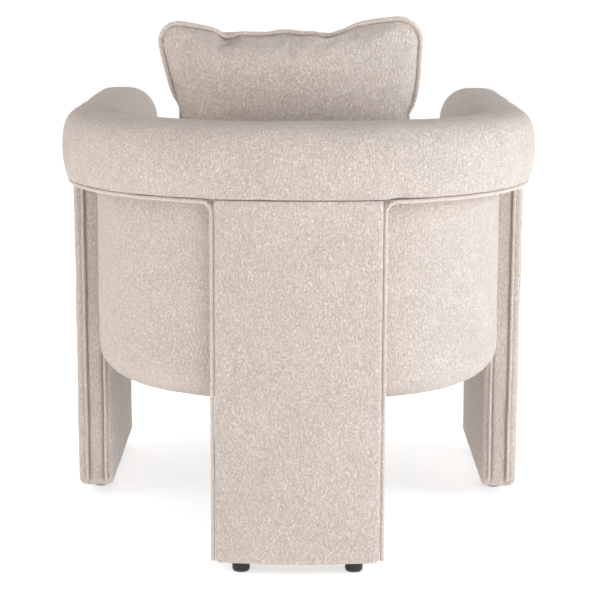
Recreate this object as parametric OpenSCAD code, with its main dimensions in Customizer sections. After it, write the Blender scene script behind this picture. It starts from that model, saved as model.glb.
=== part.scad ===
// Three-legged tub armchair. One padded roll makes the back and both arms. A rounded tub hangs
// inside it and three upholstered slab legs run from the roll down to the floor.
// The chair faces -Y and +Z is up. The origin is on the floor under the middle of the chair.
// Most pieces follow one U-shaped plan line, and "inset" is the distance inward from that line.

/* [Overall] */
// Width over the roll
chair_w = 760; // [620:2:920]
// Depth from the front of the arms to the back of the roll
chair_d = 786; // [650:2:950]
// Height of the roll's underside above the floor
roll_base_z = 571; // [475:1:690]
// Height of the tub's underside above the floor
tub_base_z = 252; // [205:1:310]

/* [Plan line] */
// Distance of the two back corner arcs' centres from the chair's middle plane
corner_in = 55; // [44:1:70]
// How far the flat middle of the back stands out behind the corner arcs
back_bulge = 4; // [3:0.5:8]

/* [Roll] */
// Width of the roll, outside to inside
roll_w = 120; // [110:1:144]
// Height of the roll above its underside
roll_h = 111; // [90:1:140]
// How far the roll's lower edges tuck in under its bulge
roll_tuck = 8; // [4:1:12]
// Length over which the ends of the arms round off
arm_round = 34; // [20:1:45]

/* [Frame] */
// Inset of the plywood top ring inside the roll
ring_in = 20; // [16:1:26]
// Width of the top ring
ring_w = 80; // [64:1:92]
// Height of the two-layer top ring
ring_h = 36; // [24:1:44]
// Padding wrapped under the top ring
ring_wrap = 3; // [2:0.5:4]
// Thickness of the tub's plywood base ring
base_t = 18; // [15:1:22]
// Width of the base ring
base_ring_w = 66; // [55:1:80]
// Depth of each upright rib, outside to inside
rib_d = 28; // [23:1:34]
// Thickness of each upright rib
rib_t = 18; // [15:1:22]
// Thickness of the bent outer board
shell_t = 4; // [3:0.5:5]
// Thickness of the bent inner board
inner_board_t = 3; // [2.5:0.5:4]
// Height of the seat rails
rail_h = 38; // [31:1:46]
// Thickness of the curved seat rail
rail_t = 22; // [18:1:27]
// Thickness of the front rail
front_rail_t = 25; // [20:1:30]

/* [Tub padding] */
// Inset of the tub's outer fabric face
tub_in = 54; // [50:1:65]
// Thickness of the padding on the outside of the tub
panel_t = 11.5; // [9:0.5:14]
// Radius of the padded lower edge of the tub
tub_edge_r = 50; // [42:1:58]
// Padding under the base ring
under_t = 9.5; // [7.5:0.5:12]
// Thickness of the facing across the front of the tub
facing_t = 12; // [10:0.5:15]

/* [Legs] */
// How far the legs' faces lie inside the plan line
leg_in = 3; // [2:0.5:5]
// Thickness of the slab legs
leg_t = 60; // [54:1:72]
// Padding on the legs
leg_pad = 9; // [7:0.5:11]
// Width of the back leg
back_leg_w = 248; // [210:2:304]
// Length of each side leg along its arm
side_leg_l = 366; // [304:2:440]
// Height of the legs' lower fabric edge above the floor
leg_base_z = 18; // [15:1:22]
// Thickness of the boards in the legs
leg_board_t = 12; // [10:0.5:14]

/* [Fixings] */
// Radius of the leg bolts
bolt_r = 4; // [3:0.5:5]
// Thickness of the timber blocks behind the leg bolts
block_t = 19; // [15:1:23]
// Height between the two rows of leg bolts
bolt_rise = 150; // [125:5:180]
// Radius of the frame screws
screw_r = 2.5; // [2:0.25:3]
// Radius of the floor glides
glide_r = 13.5; // [11:0.5:17]
// Spacing of the two glides under the back leg
back_glide_gap = 172; // [132:2:192]

/* [Webbing and deck] */
// Width of the webbing straps
strap_w = 50; // [42:1:60]
// Thickness of the webbing
strap_t = 2; // [1.5:0.25:2.5]
// Spacing of the straps
strap_pitch = 78; // [65:1:94]
// Thickness of the padded deck
deck_t = 8; // [6:1:10]

/* [Loose cushions] */
// Height of the seat cushion
seat_t = 110; // [92:1:132]
// Rounding of the seat cushion's edges
seat_round = 22; // [16:1:28]
// Width of the back pillow
pillow_w = 416; // [336:2:440]
// Height of the back pillow
pillow_h = 398; // [320:2:460]
// Thickness of the back pillow in its middle
pillow_t = 132; // [110:2:158]
// How far the back pillow leans back
pillow_lean = 10; // [6:1:14]
// Radius of the piping cord
welt_r = 3.2; // [2.6:0.1:3.9]

/* [Hidden] */
$fn = 32;

gap = 0.5;
corner_steps = 9;
back_steps = 2;
half_w = chair_w / 2;
back_y = chair_d / 2;
front_y = -chair_d / 2;

// The back arc touches both corner arcs, so its radius follows from their places.
corner_r = half_w - corner_in;
corner_y = back_y - back_bulge - corner_r;
arc_offset = (corner_in * corner_in + back_bulge * back_bulge) / (2 * back_bulge);
back_r = corner_r + arc_offset;
back_cy = back_y - back_r;
corner_a = acos(corner_in / arc_offset);

// Insets of the layers, from the outside of the tub wall to its inside.
shell_in = tub_in + panel_t + gap;
rib_in = shell_in + shell_t + gap;
inner_board_in = rib_in + rib_d + gap;
lining_in = inner_board_in + inner_board_t + gap;
base_in = tub_in + 0.6 * tub_edge_r;
cushion_in = roll_w + 4;
ring_out = ring_in + ring_w;
ring_z = roll_base_z + ring_wrap;
ring_front_y = front_y + arm_round;
leg_frame_in = leg_in + leg_pad + gap;
leg_frame_out = tub_in - gap;
leg_out = leg_in + leg_t;
block_out = rib_in + block_t;

// Heights from the floor up.
base_z = tub_base_z + under_t + gap;
rail_z = base_z + base_t + gap;
strap_z = rail_z + rail_h;
cross_strap_z = strap_z + strap_t + 0.2;
deck_z = cross_strap_z + strap_t + 0.3;
lining_z = deck_z + deck_t + gap;
edge_top_z = tub_base_z + tub_edge_r;
pad_top_z = roll_base_z - gap;
seat_z = deck_z + deck_t + gap;
seat_top_z = seat_z + seat_t;

// Front faces of the tub, from the facing inward.
facing_y = front_y + 8;
tub_front_y = facing_y + facing_t + gap;
rail_front_y = tub_front_y + front_rail_t;
leg_front_y = front_y + 7;
leg_rear_y = leg_front_y + side_leg_l;
leg_side_x = back_leg_w / 2;

cream = [0.89, 0.85, 0.79];
birch = [0.80, 0.67, 0.47];
foam = [0.93, 0.90, 0.72];
steel = [0.66, 0.67, 0.69];
black = [0.10, 0.10, 0.11];

// Points on the plan line at a given inset.
function corner_pt(inset, a) =
    [corner_in + (corner_r - inset) * cos(a), corner_y + (corner_r - inset) * sin(a)];
function back_pt(inset, a) =
    [(back_r - inset) * cos(a), back_cy + (back_r - inset) * sin(a)];
function right_side(inset, y0) = concat(
    [[half_w - inset, y0]],
    [for (i = [0 : corner_steps]) corner_pt(inset, corner_a * i / corner_steps)],
    [for (i = [1 : back_steps]) back_pt(inset, corner_a + (90 - corner_a) * i / back_steps)]);
function mirrored(pts) = [for (i = [len(pts) - 1 : -1 : 0]) [-pts[i][0], pts[i][1]]];
function reversed(pts) = [for (i = [len(pts) - 1 : -1 : 0]) pts[i]];
function without_last(pts) = [for (i = [0 : len(pts) - 2]) pts[i]];
function u_line(inset, y0) =
    concat(without_last(right_side(inset, y0)), mirrored(right_side(inset, y0)));

// Place of the plan line's back at a distance x from the middle.
function back_line_y(x, inset) =
    let (join_x = (back_r - inset) * cos(corner_a), ax = abs(x))
    ax < join_x ? back_cy + sqrt(pow(back_r - inset, 2) - ax * ax)
                : corner_y + sqrt(pow(corner_r - inset, 2) - pow(ax - corner_in, 2));
// Outward direction of the plan line's back at a distance x from the middle, as a turn from +Y.
function back_line_a(x, inset) =
    let (join_x = (back_r - inset) * cos(corner_a), ax = abs(x))
    ax < join_x ? asin(x / (back_r - inset))
                : sign(x) * asin((ax - corner_in) / (corner_r - inset));
function side_line_x(y, inset) = y < corner_y ? half_w - inset
    : corner_in + sqrt(pow(corner_r - inset, 2) - pow(y - corner_y, 2));

// Wall between two insets, all the way round the U.
module band(in0, in1, y0, z0, z1) {
    translate([0, 0, z0])
        linear_extrude(z1 - z0)
            polygon(concat(u_line(in0, y0), reversed(u_line(in1, y0))));
}

// Floor plate inside an inset, closed across the front.
module plate(inset, y0, z0, z1) {
    translate([0, 0, z0])
        linear_extrude(z1 - z0)
            polygon(u_line(inset, y0));
}

// The part of a wall that lies beside the right arm, between two Y places.
module side_band(in0, in1, y0, y1, z0, z1) {
    intersection() {
        band(in0, in1, front_y - 50, z0, z1);
        translate([0, y0, z0 - 1])
            cube([chair_w, y1 - y0, z1 - z0 + 2]);
    }
}

// The part of a wall behind the chair, within a distance of the middle.
module back_band(in0, in1, reach, z0, z1) {
    intersection() {
        band(in0, in1, front_y, z0, z1);
        translate([-reach, 0, z0 - 1])
            cube([2 * reach, chair_d, z1 - z0 + 2]);
    }
}

module both_sides() {
    children();
    mirror([1, 0, 0])
        children();
}

// Solid through a list of rings that have equal numbers of points, each ring turning the same
// way about the direction of travel.
module skin(rings, closed = false) {
    n = len(rings[0]);
    m = len(rings);
    last = closed ? m - 1 : m - 2;
    points = [for (r = rings) each r];
    walls = [for (i = [0 : last]) for (j = [0 : n - 1])
        let (a = i * n, b = ((i + 1) % m) * n, k = (j + 1) % n)
        each [[a + j, b + j, b + k], [a + j, b + k, a + k]]];
    caps = closed ? [] : [[for (j = [0 : n - 1]) j],
        [for (j = [n - 1 : -1 : 0]) (m - 1) * n + j]];
    polyhedron(points, concat(walls, caps));
}

function unit(v) = v / norm(v);

// Rings of a round cord along a path, given the surface normal at each point.
function cord_rings(path, normals, radius, closed) =
    let (m = len(path), sides = 8)
    [for (i = [0 : m - 1])
        let (before = closed ? path[(i + m - 1) % m] : path[max(i - 1, 0)],
             after = closed ? path[(i + 1) % m] : path[min(i + 1, m - 1)],
             t = unit(after - before),
             b = unit(cross(t, normals[i])),
             c = cross(b, t))
        [for (j = [0 : sides - 1])
            path[i] + radius * (cos(-360 * j / sides) * b + sin(-360 * j / sides) * c)]];

// Outward direction and place of a station on the plan line: first down the right arm from its
// front, then round the corner arc and the back to the middle, in millimetres of outline.
arm_len = corner_y - front_y;
corner_len = corner_r * corner_a * PI / 180;
half_len = arm_len + corner_len + back_r * (90 - corner_a) * PI / 180;
back_mid_s = (arm_len + corner_len + half_len) / 2;
function station_angle(s) = s < arm_len ? 0
    : s < arm_len + corner_len ? (s - arm_len) / corner_r * 180 / PI
    : corner_a + (s - arm_len - corner_len) / back_r * 180 / PI;
function station_pt(s, inset) = s < arm_len ? [half_w - inset, front_y + s]
    : s < arm_len + corner_len ? corner_pt(inset, station_angle(s))
    : back_pt(inset, station_angle(s));
function right_station(s, inset, z) = let (p = station_pt(s, inset)) [p[0], p[1], z];
// Station where the right half of the line, at an inset, lies at a distance x from the middle.
function station_at_x(x, inset) = x < (back_r - inset) * cos(corner_a)
    ? half_len - asin(x / (back_r - inset)) * PI / 180 * back_r
    : arm_len + acos((x - corner_in) / (corner_r - inset)) * PI / 180 * corner_r;
// Any station round the whole U, counted from the right arm's front.
function u_station(s, inset, z) = s <= half_len ? right_station(s, inset, z)
    : let (p = station_pt(2 * half_len - s, inset)) [-p[0], p[1], z];

// ---- Roll and top ring ----

roll_levels = 24;
// Section of the roll: a soft oval on a narrower flat base. Points are [inset, height].
function roll_section(shrink) =
    let (a = roll_w / 2, mid = roll_base_z + 0.42 * roll_h, up = roll_base_z + roll_h - mid,
         down = mid - roll_base_z)
    [for (i = [0 : roll_levels - 1])
        let (t = -50 + 280 * i / (roll_levels - 1), reach = cos(t), rise = sin(t),
             base_x = (a - roll_tuck) / cos(50),
             wide = rise < 0 ? a - (a - base_x * cos(50)) * pow(rise / sin(50), 2) : a,
             x = rise < 0 ? sign(reach) * wide : a * sign(reach) * pow(abs(reach), 0.86),
             z = rise < 0 ? mid + down * rise / sin(50) : mid + up * pow(rise, 0.92))
        [a - shrink * x, mid + (shrink < 1 ? shrink : 1) * (z - mid)]];

roll_stops = concat(
    [for (k = [0 : 5]) arm_round * (1 - cos(90 * k / 5 + 0.001))],
    [for (k = [1 : 4]) arm_round + (arm_len - arm_round) * k / 4],
    [for (k = [1 : 9]) arm_len + corner_len * k / 9],
    [back_mid_s, half_len]);
function end_shrink(s) = s >= arm_round ? 1
    : 0.3 + 0.7 * sqrt(max(0, 1 - pow(1 - s / arm_round, 2)));
function roll_ring(s, side) =
    [for (p = roll_section(end_shrink(s)))
        let (q = station_pt(s, p[0])) [side * q[0], q[1], p[1]]];

module roll_pad() {
    right = [for (s = roll_stops) roll_ring(s, 1)];
    left = [for (i = [len(roll_stops) - 2 : -1 : 0]) roll_ring(roll_stops[i], -1)];
    color(cream)
        difference() {
            skin(concat(right, left));
            band(ring_in - gap, ring_out + gap, ring_front_y - gap,
                 ring_z - gap, ring_z + ring_h + gap);
        }
}

rib_stations = concat(
    [arm_round + rib_t, arm_len - (corner_y - leg_rear_y) - rib_t],
    [for (k = [0.16, 0.42, 0.68]) arm_len + k * corner_len]);
screw_in = rib_in + rib_d / 2;

module at_ribs() {
    for (side = [1, -1])
        for (s = rib_stations)
            let (p = station_pt(s, screw_in), a = station_angle(s))
                translate([side * p[0], p[1], 0])
                    rotate([0, 0, side > 0 ? a : 180 - a])
                        children();
}

module top_ring() {
    color(birch)
        difference() {
            band(ring_in, ring_out, ring_front_y, ring_z, ring_z + ring_h);
            at_ribs()
                translate([0, 0, ring_z - 1])
                    cylinder(r = screw_r, h = ring_h - screw_cover + 1);
        }
}

// Each screw comes up out of a rib, through the roll's underside and into the top ring.
screw_bite = 28;
screw_cover = 8;
module ring_screws() {
    color(steel)
        at_ribs()
            translate([0, 0, roll_base_z - screw_bite])
                cylinder(r = screw_r, h = screw_bite + ring_wrap + ring_h - screw_cover);
}

// ---- Tub ----

// Upright rib: its lower outer corner is cut back over the padded edge, and its outer side is
// eased so that the bent board clears it between the board's own flats.
module tub_ribs() {
    outer = rib_d / 2 - (corner_r - rib_in) * (1 - cos(corner_a / corner_steps / 2)) - 0.2;
    rib_h = roll_base_z - gap - rail_z;
    cut_in = base_in - rib_in;
    cut_up = edge_top_z + 2 - rail_z;
    color(birch)
        difference() {
            at_ribs()
                translate([0, rib_t / 2, rail_z])
                    rotate([90, 0, 0])
                        linear_extrude(rib_t)
                            polygon([[-rib_d / 2, 0], [outer - cut_in, 0],
                                [outer, cut_up], [outer, rib_h], [-rib_d / 2, rib_h]]);
            at_ribs()
                translate([0, 0, roll_base_z - screw_bite])
                    cylinder(r = screw_r, h = screw_bite + 1);
        }
}

module tub_shell_board() {
    color(birch)
        difference() {
            band(shell_in, shell_in + shell_t, tub_front_y, edge_top_z + 2, pad_top_z);
            at_leg_bolts()
                translate([0, 0, -5])
                    cylinder(r = bolt_r + 0.25, h = 80);
        }
}

module inner_board() {
    color(birch)
        band(inner_board_in, inner_board_in + inner_board_t, tub_front_y,
             strap_z + gap, pad_top_z);
}

module inner_lining() {
    color(cream)
        band(lining_in, roll_w, tub_front_y, lining_z, pad_top_z);
}

// One outer panel runs from the side leg round to the back leg.
module tub_panel() {
    panel_reach = back_leg_w / 2 - leg_pad;
    color(cream)
        intersection() {
            band(tub_in, tub_in + panel_t, front_y, edge_top_z + gap, pad_top_z);
            translate([panel_reach, leg_rear_y - leg_pad, 0])
                cube([chair_w, chair_d, chair_d]);
        }
}

module tub_panel_right() {
    tub_panel();
}

module tub_panel_left() {
    mirror([1, 0, 0])
        tub_panel();
}

// Padded lower edge of the tub, wrapped under the base ring. Its halves meet behind the back leg.
module tub_edge() {
    centre_in = tub_in + tub_edge_r;
    section = concat(
        [for (i = [0 : 6])
            [centre_in - tub_edge_r * cos(15 * i), edge_top_z - tub_edge_r * sin(15 * i)]],
        [[centre_in, base_z - gap], [base_in - gap, base_z - gap],
         [base_in - gap, rail_z - gap], [tub_in + panel_t, edge_top_z]]);
    stops = concat([tub_front_y - front_y, arm_len],
        [for (k = [1 : 9]) arm_len + corner_len * k / 9], [back_mid_s, half_len - gap / 2]);
    color(cream)
        skin([for (s = stops) [for (p = reversed(section)) u_station(s, p[0], p[1])]]);
}

module tub_edge_right() {
    tub_edge();
}

module tub_edge_left() {
    mirror([1, 0, 0])
        tub_edge();
}

module base_ring() {
    color(birch)
        difference() {
            plate(base_in, tub_front_y, base_z, base_z + base_t);
            plate(base_in + base_ring_w, tub_front_y + base_ring_w, base_z - 1,
                  base_z + base_t + 1);
        }
}

module seat_rail() {
    color(birch)
        band(inner_board_in, inner_board_in + rail_t, rail_front_y + gap, rail_z, strap_z);
}

module front_rail() {
    reach = half_w - rib_in - rib_d;
    color(birch)
        translate([-reach, tub_front_y, rail_z])
            cube([2 * reach, front_rail_t, rail_h]);
}

block_leg = 46;
module corner_blocks() {
    x = half_w - inner_board_in - rail_t - gap;
    y = rail_front_y + gap;
    color(birch)
        both_sides()
            translate([0, 0, rail_z + 2])
                linear_extrude(rail_h - 4)
                    polygon([[x, y], [x, y + block_leg], [x - block_leg, y]]);
}

strap_in = lining_in + 3;
module webbing_long() {
    color(black)
        for (i = [-2 : 2])
            let (x = i * strap_pitch, edge = abs(x) + strap_w / 2, y0 = tub_front_y + 4)
                translate([x - strap_w / 2, y0, strap_z])
                    cube([strap_w, back_line_y(edge, strap_in) - y0, strap_t]);
}

module webbing_cross() {
    color(black)
        for (i = [-3 : 1])
            let (y = 4 + i * strap_pitch, x = side_line_x(y + strap_w / 2, strap_in))
                translate([-x, y - strap_w / 2, cross_strap_z])
                    cube([2 * x, strap_w, strap_t]);
}

module deck_pad() {
    color(cream)
        plate(lining_in + 1, tub_front_y, deck_z, deck_z + deck_t);
}

// Facing over the front of the tub and the inner parts of both arm fronts.
module front_facing() {
    reach = half_w - tub_in - gap;
    inner = half_w - roll_w;
    color(cream)
        translate([0, facing_y + facing_t, 0])
            rotate([90, 0, 0])
                linear_extrude(facing_t)
                    polygon([[-reach, tub_base_z], [reach, tub_base_z], [reach, pad_top_z],
                        [inner, pad_top_z], [inner, lining_z - gap], [-inner, lining_z - gap],
                        [-inner, pad_top_z], [-reach, pad_top_z]]);
}

module dust_cover() {
    color(black)
        plate(tub_in + tub_edge_r + 1, tub_front_y + 2, base_z - 1.5, base_z - 0.3);
}

// Cloth strip under the roll's overhang, between a side leg and the back leg.
module roll_underside() {
    color(cream)
        intersection() {
            band(roll_tuck + 2 * welt_r + 2, tub_in - gap, front_y,
                 roll_base_z - 2.5, roll_base_z - 0.3);
            translate([leg_side_x + gap, leg_rear_y + gap, 0])
                cube([chair_w, chair_d, chair_d]);
        }
}

module roll_underside_right() {
    roll_underside();
}

module roll_underside_left() {
    mirror([1, 0, 0])
        roll_underside();
}

// Piping under the roll's outer edge. It turns down beside the back leg and runs to its foot.
welt_turn = 16;
welt_z = roll_base_z - welt_r - 0.3;
welt_side_in = roll_tuck + welt_r + 0.6;
welt_leg_in = leg_in + welt_r + 2;
welt_leg_x = leg_side_x + welt_r + 0.4;
// Distance along the plan line from the arm's front to the piping's turn.
welt_turn_s = station_at_x(welt_leg_x, welt_leg_in);
function welt_station(s) =
    let (ease = min(1, max(0, (s - welt_turn_s + 90) / 80)))
    welt_side_in + (welt_leg_in - welt_side_in) * ease * ease * (3 - 2 * ease);

module roll_welt() {
    s0 = leg_rear_y - front_y + welt_r + gap;
    s1 = welt_turn_s - welt_turn;
    run = [for (k = [0 : 20]) let (s = s0 + (s1 - s0) * k / 20)
        right_station(s, welt_station(s), welt_z)];
    turn = [for (k = [1 : 6]) let (a = 15 * k)
        right_station(s1 + welt_turn * sin(a), welt_leg_in, welt_z - welt_turn * (1 - cos(a)))];
    foot = right_station(welt_turn_s, welt_leg_in, leg_base_z + welt_r);
    down = [for (k = [1 : 4]) turn[5] + (foot - turn[5]) * k / 4];
    normals = concat(
        [for (k = [0 : 20]) let (a = station_angle(s0 + (s1 - s0) * k / 20))
            [cos(a), sin(a), 0]],
        [for (k = [1 : 10]) let (a = station_angle(welt_turn_s)) [cos(a), sin(a), 0]]);
    color(cream)
        skin(cord_rings(concat(run, turn, down), normals, welt_r, false));
}

module roll_welt_right() {
    roll_welt();
}

module roll_welt_left() {
    mirror([1, 0, 0])
        roll_welt();
}

// ---- Legs ----

bolt_low_z = edge_top_z + 45;
side_bolt_y = [leg_front_y + 0.27 * side_leg_l, leg_front_y + 0.73 * side_leg_l];
back_bolt_x = back_leg_w / 4;
head_in = block_out + 2;

// Places a child at each bolt, with its +Z outward and its origin on the block's inner face.
module at_leg_bolts() {
    for (z = [bolt_low_z, bolt_low_z + bolt_rise]) {
        for (side = [1, -1])
            for (y = side_bolt_y)
                translate([side * (half_w - block_out), y, z])
                    rotate([0, side * 90, 0])
                        children();
        for (x = [-back_bolt_x, back_bolt_x])
            translate([x, back_line_y(x, block_out), z])
                rotate([0, 0, -back_line_a(x, block_out)])
                    rotate([-90, 0, 0])
                        children();
    }
}

board_hole = bolt_r + 1.5;
nut_depth = block_out - (leg_frame_out - leg_board_t);
module leg_holes() {
    at_leg_bolts()
        translate([0, 0, nut_depth - leg_board_t - 1])
            cylinder(r = board_hole, h = leg_board_t + 3);
}

frame_low_z = leg_base_z + 2.5;
rail_deep = 60;
module rail_gaps(h0, h1) {
    // Open bays between the bottom, middle and top cross rails of a leg.
    mid = (h0 + h1) / 2;
    for (z = [[h0 + rail_deep, mid - 20], [mid + 20, h1 - 30]])
        children_bay(z[0], z[1]) children();
}

module children_bay(z0, z1) {
    intersection() {
        children();
        translate([-chair_w, -chair_d, z0])
            cube([2 * chair_w, 2 * chair_d, z1 - z0]);
    }
}

glide_in = (leg_in + leg_out) / 2;
side_glide_y = [leg_front_y + 80, leg_rear_y - 80];
module at_glides() {
    for (x = [-back_glide_gap / 2, back_glide_gap / 2])
        translate([x, back_line_y(x, glide_in), 0])
            children();
    for (side = [1, -1])
        for (y = side_glide_y)
            translate([side * (half_w - glide_in), y, 0])
                children();
}

stud_r = 4;
stud_low_z = 8;
stud_high_z = leg_base_z + 32;
module stud_holes() {
    at_glides()
        translate([0, 0, leg_base_z - 1])
            cylinder(r = stud_r, h = stud_high_z - leg_base_z + 2);
}

module back_leg_frame() {
    reach = leg_side_x - leg_pad - gap;
    color(birch)
        difference() {
            back_band(leg_frame_in, leg_frame_out, reach, frame_low_z, pad_top_z);
            rail_gaps(frame_low_z, pad_top_z)
                back_band(leg_frame_in + leg_board_t, leg_frame_out - leg_board_t, reach + 1,
                          frame_low_z, pad_top_z);
            leg_holes();
            stud_holes();
        }
}

module side_leg_frame() {
    y0 = leg_front_y + leg_pad + gap;
    y1 = leg_rear_y - leg_pad - gap;
    color(birch)
        difference() {
            side_band(leg_frame_in, leg_frame_out, y0, y1, frame_low_z, pad_top_z);
            rail_gaps(frame_low_z, pad_top_z)
                side_band(leg_frame_in + leg_board_t, leg_frame_out - leg_board_t, y0 - 1,
                          y1 + 1, frame_low_z, pad_top_z);
            leg_holes();
            stud_holes();
        }
}

module side_leg_frame_right() {
    side_leg_frame();
}

module side_leg_frame_left() {
    mirror([1, 0, 0])
        side_leg_frame();
}

// Padded covers: a full sleeve below the tub, open to the tub wall above it.
sleeve_z = tub_base_z - gap;
module back_leg_cover() {
    color(cream)
        difference() {
            union() {
                back_band(leg_in, leg_out, leg_side_x, leg_base_z, sleeve_z);
                back_band(leg_in, leg_frame_out, leg_side_x, sleeve_z - 1, pad_top_z);
            }
            back_band(leg_in + leg_pad, leg_frame_out + gap, leg_side_x - leg_pad,
                      leg_base_z - 1, sleeve_z);
            back_band(leg_in + leg_pad, leg_out + 5, leg_side_x - leg_pad,
                      sleeve_z - 1, pad_top_z + 1);
        }
}

module side_leg_cover() {
    y0 = leg_front_y;
    y1 = leg_rear_y;
    color(cream)
        difference() {
            union() {
                side_band(leg_in, leg_out, y0, y1, leg_base_z, sleeve_z);
                side_band(leg_in, leg_frame_out, y0, y1, sleeve_z - 1, pad_top_z);
            }
            side_band(leg_in + leg_pad, leg_frame_out + gap, y0 + leg_pad, y1 - leg_pad,
                      leg_base_z - 1, sleeve_z);
            side_band(leg_in + leg_pad, leg_out + 5, y0 + leg_pad, y1 - leg_pad,
                      sleeve_z - 1, pad_top_z + 1);
        }
}

module side_leg_cover_right() {
    side_leg_cover();
}

module side_leg_cover_left() {
    mirror([1, 0, 0])
        side_leg_cover();
}

// Packing boards between each leg and the tub's outer board.
module leg_packers() {
    z0 = edge_top_z + 2;
    color(birch)
        difference() {
            union() {
                back_band(tub_in, shell_in - gap, leg_side_x - leg_pad - gap, z0, pad_top_z);
                both_sides()
                    side_band(tub_in, shell_in - gap, tub_front_y,
                              leg_rear_y - leg_pad - gap, z0, pad_top_z);
            }
            at_leg_bolts()
                cylinder(r = bolt_r + 0.25, h = 80);
        }
}

// Blocks inside the tub wall that the bolt heads pull against.
module leg_blocks() {
    z0 = bolt_low_z - 30;
    z1 = bolt_low_z + bolt_rise + 30;
    color(birch)
        difference() {
            union() {
                back_band(rib_in, block_out, back_bolt_x + 30, z0, z1);
                both_sides()
                    side_band(rib_in, block_out, side_bolt_y[0] - 30, side_bolt_y[1] + 30,
                              z0, z1);
            }
            at_leg_bolts()
                translate([0, 0, -5])
                    cylinder(r = bolt_r + 0.25, h = 80);
        }
}

washer_t = 1.6;
// The washers clear the flats of the curved block behind the back leg.
head_z = -washer_t - (back_r - block_out) * (1 - cos((90 - corner_a) / back_steps / 2)) - 0.1;
module leg_bolts() {
    color(steel)
        at_leg_bolts() {
            translate([0, 0, head_z])
                cylinder(r = bolt_r, h = nut_depth - head_z + 2);
            translate([0, 0, head_z - 4])
                cylinder(r = 1.85 * bolt_r, h = 4, $fn = 6);
        }
}

module leg_washers() {
    color(steel)
        at_leg_bolts()
            translate([0, 0, head_z + 0.05])
                difference() {
                    cylinder(r = 2.4 * bolt_r, h = washer_t - 0.1);
                    translate([0, 0, -1])
                        cylinder(r = bolt_r + 0.2, h = washer_t + 2);
                }
}

module leg_tee_nuts() {
    color(steel)
        at_leg_bolts()
            difference() {
                union() {
                    translate([0, 0, nut_depth - leg_board_t + 2])
                        cylinder(r = bolt_r + 1.4, h = leg_board_t - 2);
                    translate([0, 0, nut_depth])
                        cylinder(r = 2.4 * bolt_r, h = 1.5);
                }
                cylinder(r = bolt_r + 0.05, h = 100);
            }
}

// Upright piping along the rear and front edges of a side leg.
edge_welt_in = [20, 49];
edge_welt_z = [leg_base_z + 8, roll_base_z - 8];
module side_leg_welts() {
    color(cream)
        for (inset = edge_welt_in)
            for (y = [leg_front_y - welt_r - 0.3, leg_rear_y + welt_r + 0.3])
                translate([side_line_x(y, inset), y, edge_welt_z[0]])
                    cylinder(r = welt_r, h = edge_welt_z[1] - edge_welt_z[0], $fn = 16);
}

module side_leg_welts_right() {
    side_leg_welts();
}

module side_leg_welts_left() {
    mirror([1, 0, 0])
        side_leg_welts();
}

module leg_bottom_cloths() {
    trim = leg_pad + 1;
    cloth_out = leg_frame_out + gap - 1;
    color(black)
        difference() {
            union() {
                back_band(leg_in + trim, cloth_out, leg_side_x - trim,
                          leg_base_z + 0.8, leg_base_z + 2);
                both_sides()
                    side_band(leg_in + trim, cloth_out, leg_front_y + trim,
                              leg_rear_y - trim, leg_base_z + 0.8, leg_base_z + 2);
            }
            stud_holes();
        }
}

glide_top_z = leg_base_z + 0.4;
module glide_pads() {
    color(black)
        at_glides()
            difference() {
                union() {
                    cylinder(r1 = glide_r - 1.5, r2 = glide_r, h = 3);
                    translate([0, 0, 3])
                        cylinder(r = glide_r, h = glide_top_z - 3);
                }
                translate([0, 0, stud_low_z])
                    cylinder(r = stud_r, h = glide_top_z);
            }
}

module glide_studs() {
    color(steel)
        at_glides()
            translate([0, 0, stud_low_z])
                cylinder(r = stud_r, h = stud_high_z - stud_low_z);
}

// ---- Seat cushion ----

seat_front_y = front_y + 6;
// Rings of the cushion from bottom to top, set in by a distance all round.
function seat_ring(inset, z) =
    [for (p = u_line(cushion_in + inset, seat_front_y + inset)) [p[0], p[1], z]];
function seat_rings(inset, edge) =
    let (low = seat_z + inset, high = seat_top_z - inset)
    concat(
        [for (i = [0 : 3]) seat_ring(inset + edge * (1 - sin(30 * i)),
            low + edge * (1 - cos(30 * i)))],
        [for (i = [0 : 3]) seat_ring(inset + edge * (1 - cos(30 * i)),
            high - edge * (1 - sin(30 * i)))]);

cover_t = 6;
module seat_cushion_cover() {
    color(cream)
        difference() {
            skin(seat_rings(0, seat_round));
            skin(seat_rings(cover_t, seat_round - cover_t));
        }
}

module seat_cushion_core() {
    color(foam)
        skin(seat_rings(cover_t + gap, seat_round - cover_t - gap));
}

// Points round the cushion's plan at an inset, with the straight front divided up too.
function seat_loop(inset, z) =
    let (line = u_line(cushion_in + inset, seat_front_y + inset), x = line[0][0], y = line[0][1])
    [for (p = concat(line, [for (k = [1 : 3]) [-x + k * x / 2, y]])) [p[0], p[1], z]];

module seat_cushion_welts() {
    // Each piping sits in the hollow of the cushion's rounded edge.
    tuck = seat_round * 0.3 - 0.71 * (welt_r + 0.4);
    color(cream)
        for (z = [seat_z + tuck, seat_top_z - tuck])
            let (loop = seat_loop(tuck, z))
                skin(cord_rings(loop, [for (p = loop) [0, 0, 1]], welt_r, true), true);
}

module seat_cushion_zip() {
    mid_z = seat_z + seat_t / 2;
    color(black)
        back_band(cushion_in - 1.6, cushion_in - 0.2, 170, mid_z - 5, mid_z + 5);
}

// ---- Back pillow ----

pillow_rings = 7;
pillow_edge = 5;
pillow_corner = 0.16;
pillow_half_w = pillow_w / 2 - 2 * welt_r - 0.5;
pillow_half_h = pillow_h / 2 - 2 * welt_r - 0.5;
pillow_z = seat_top_z + 0.8 + (pillow_half_h + 2 * welt_r + 1) * cos(pillow_lean);
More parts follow.
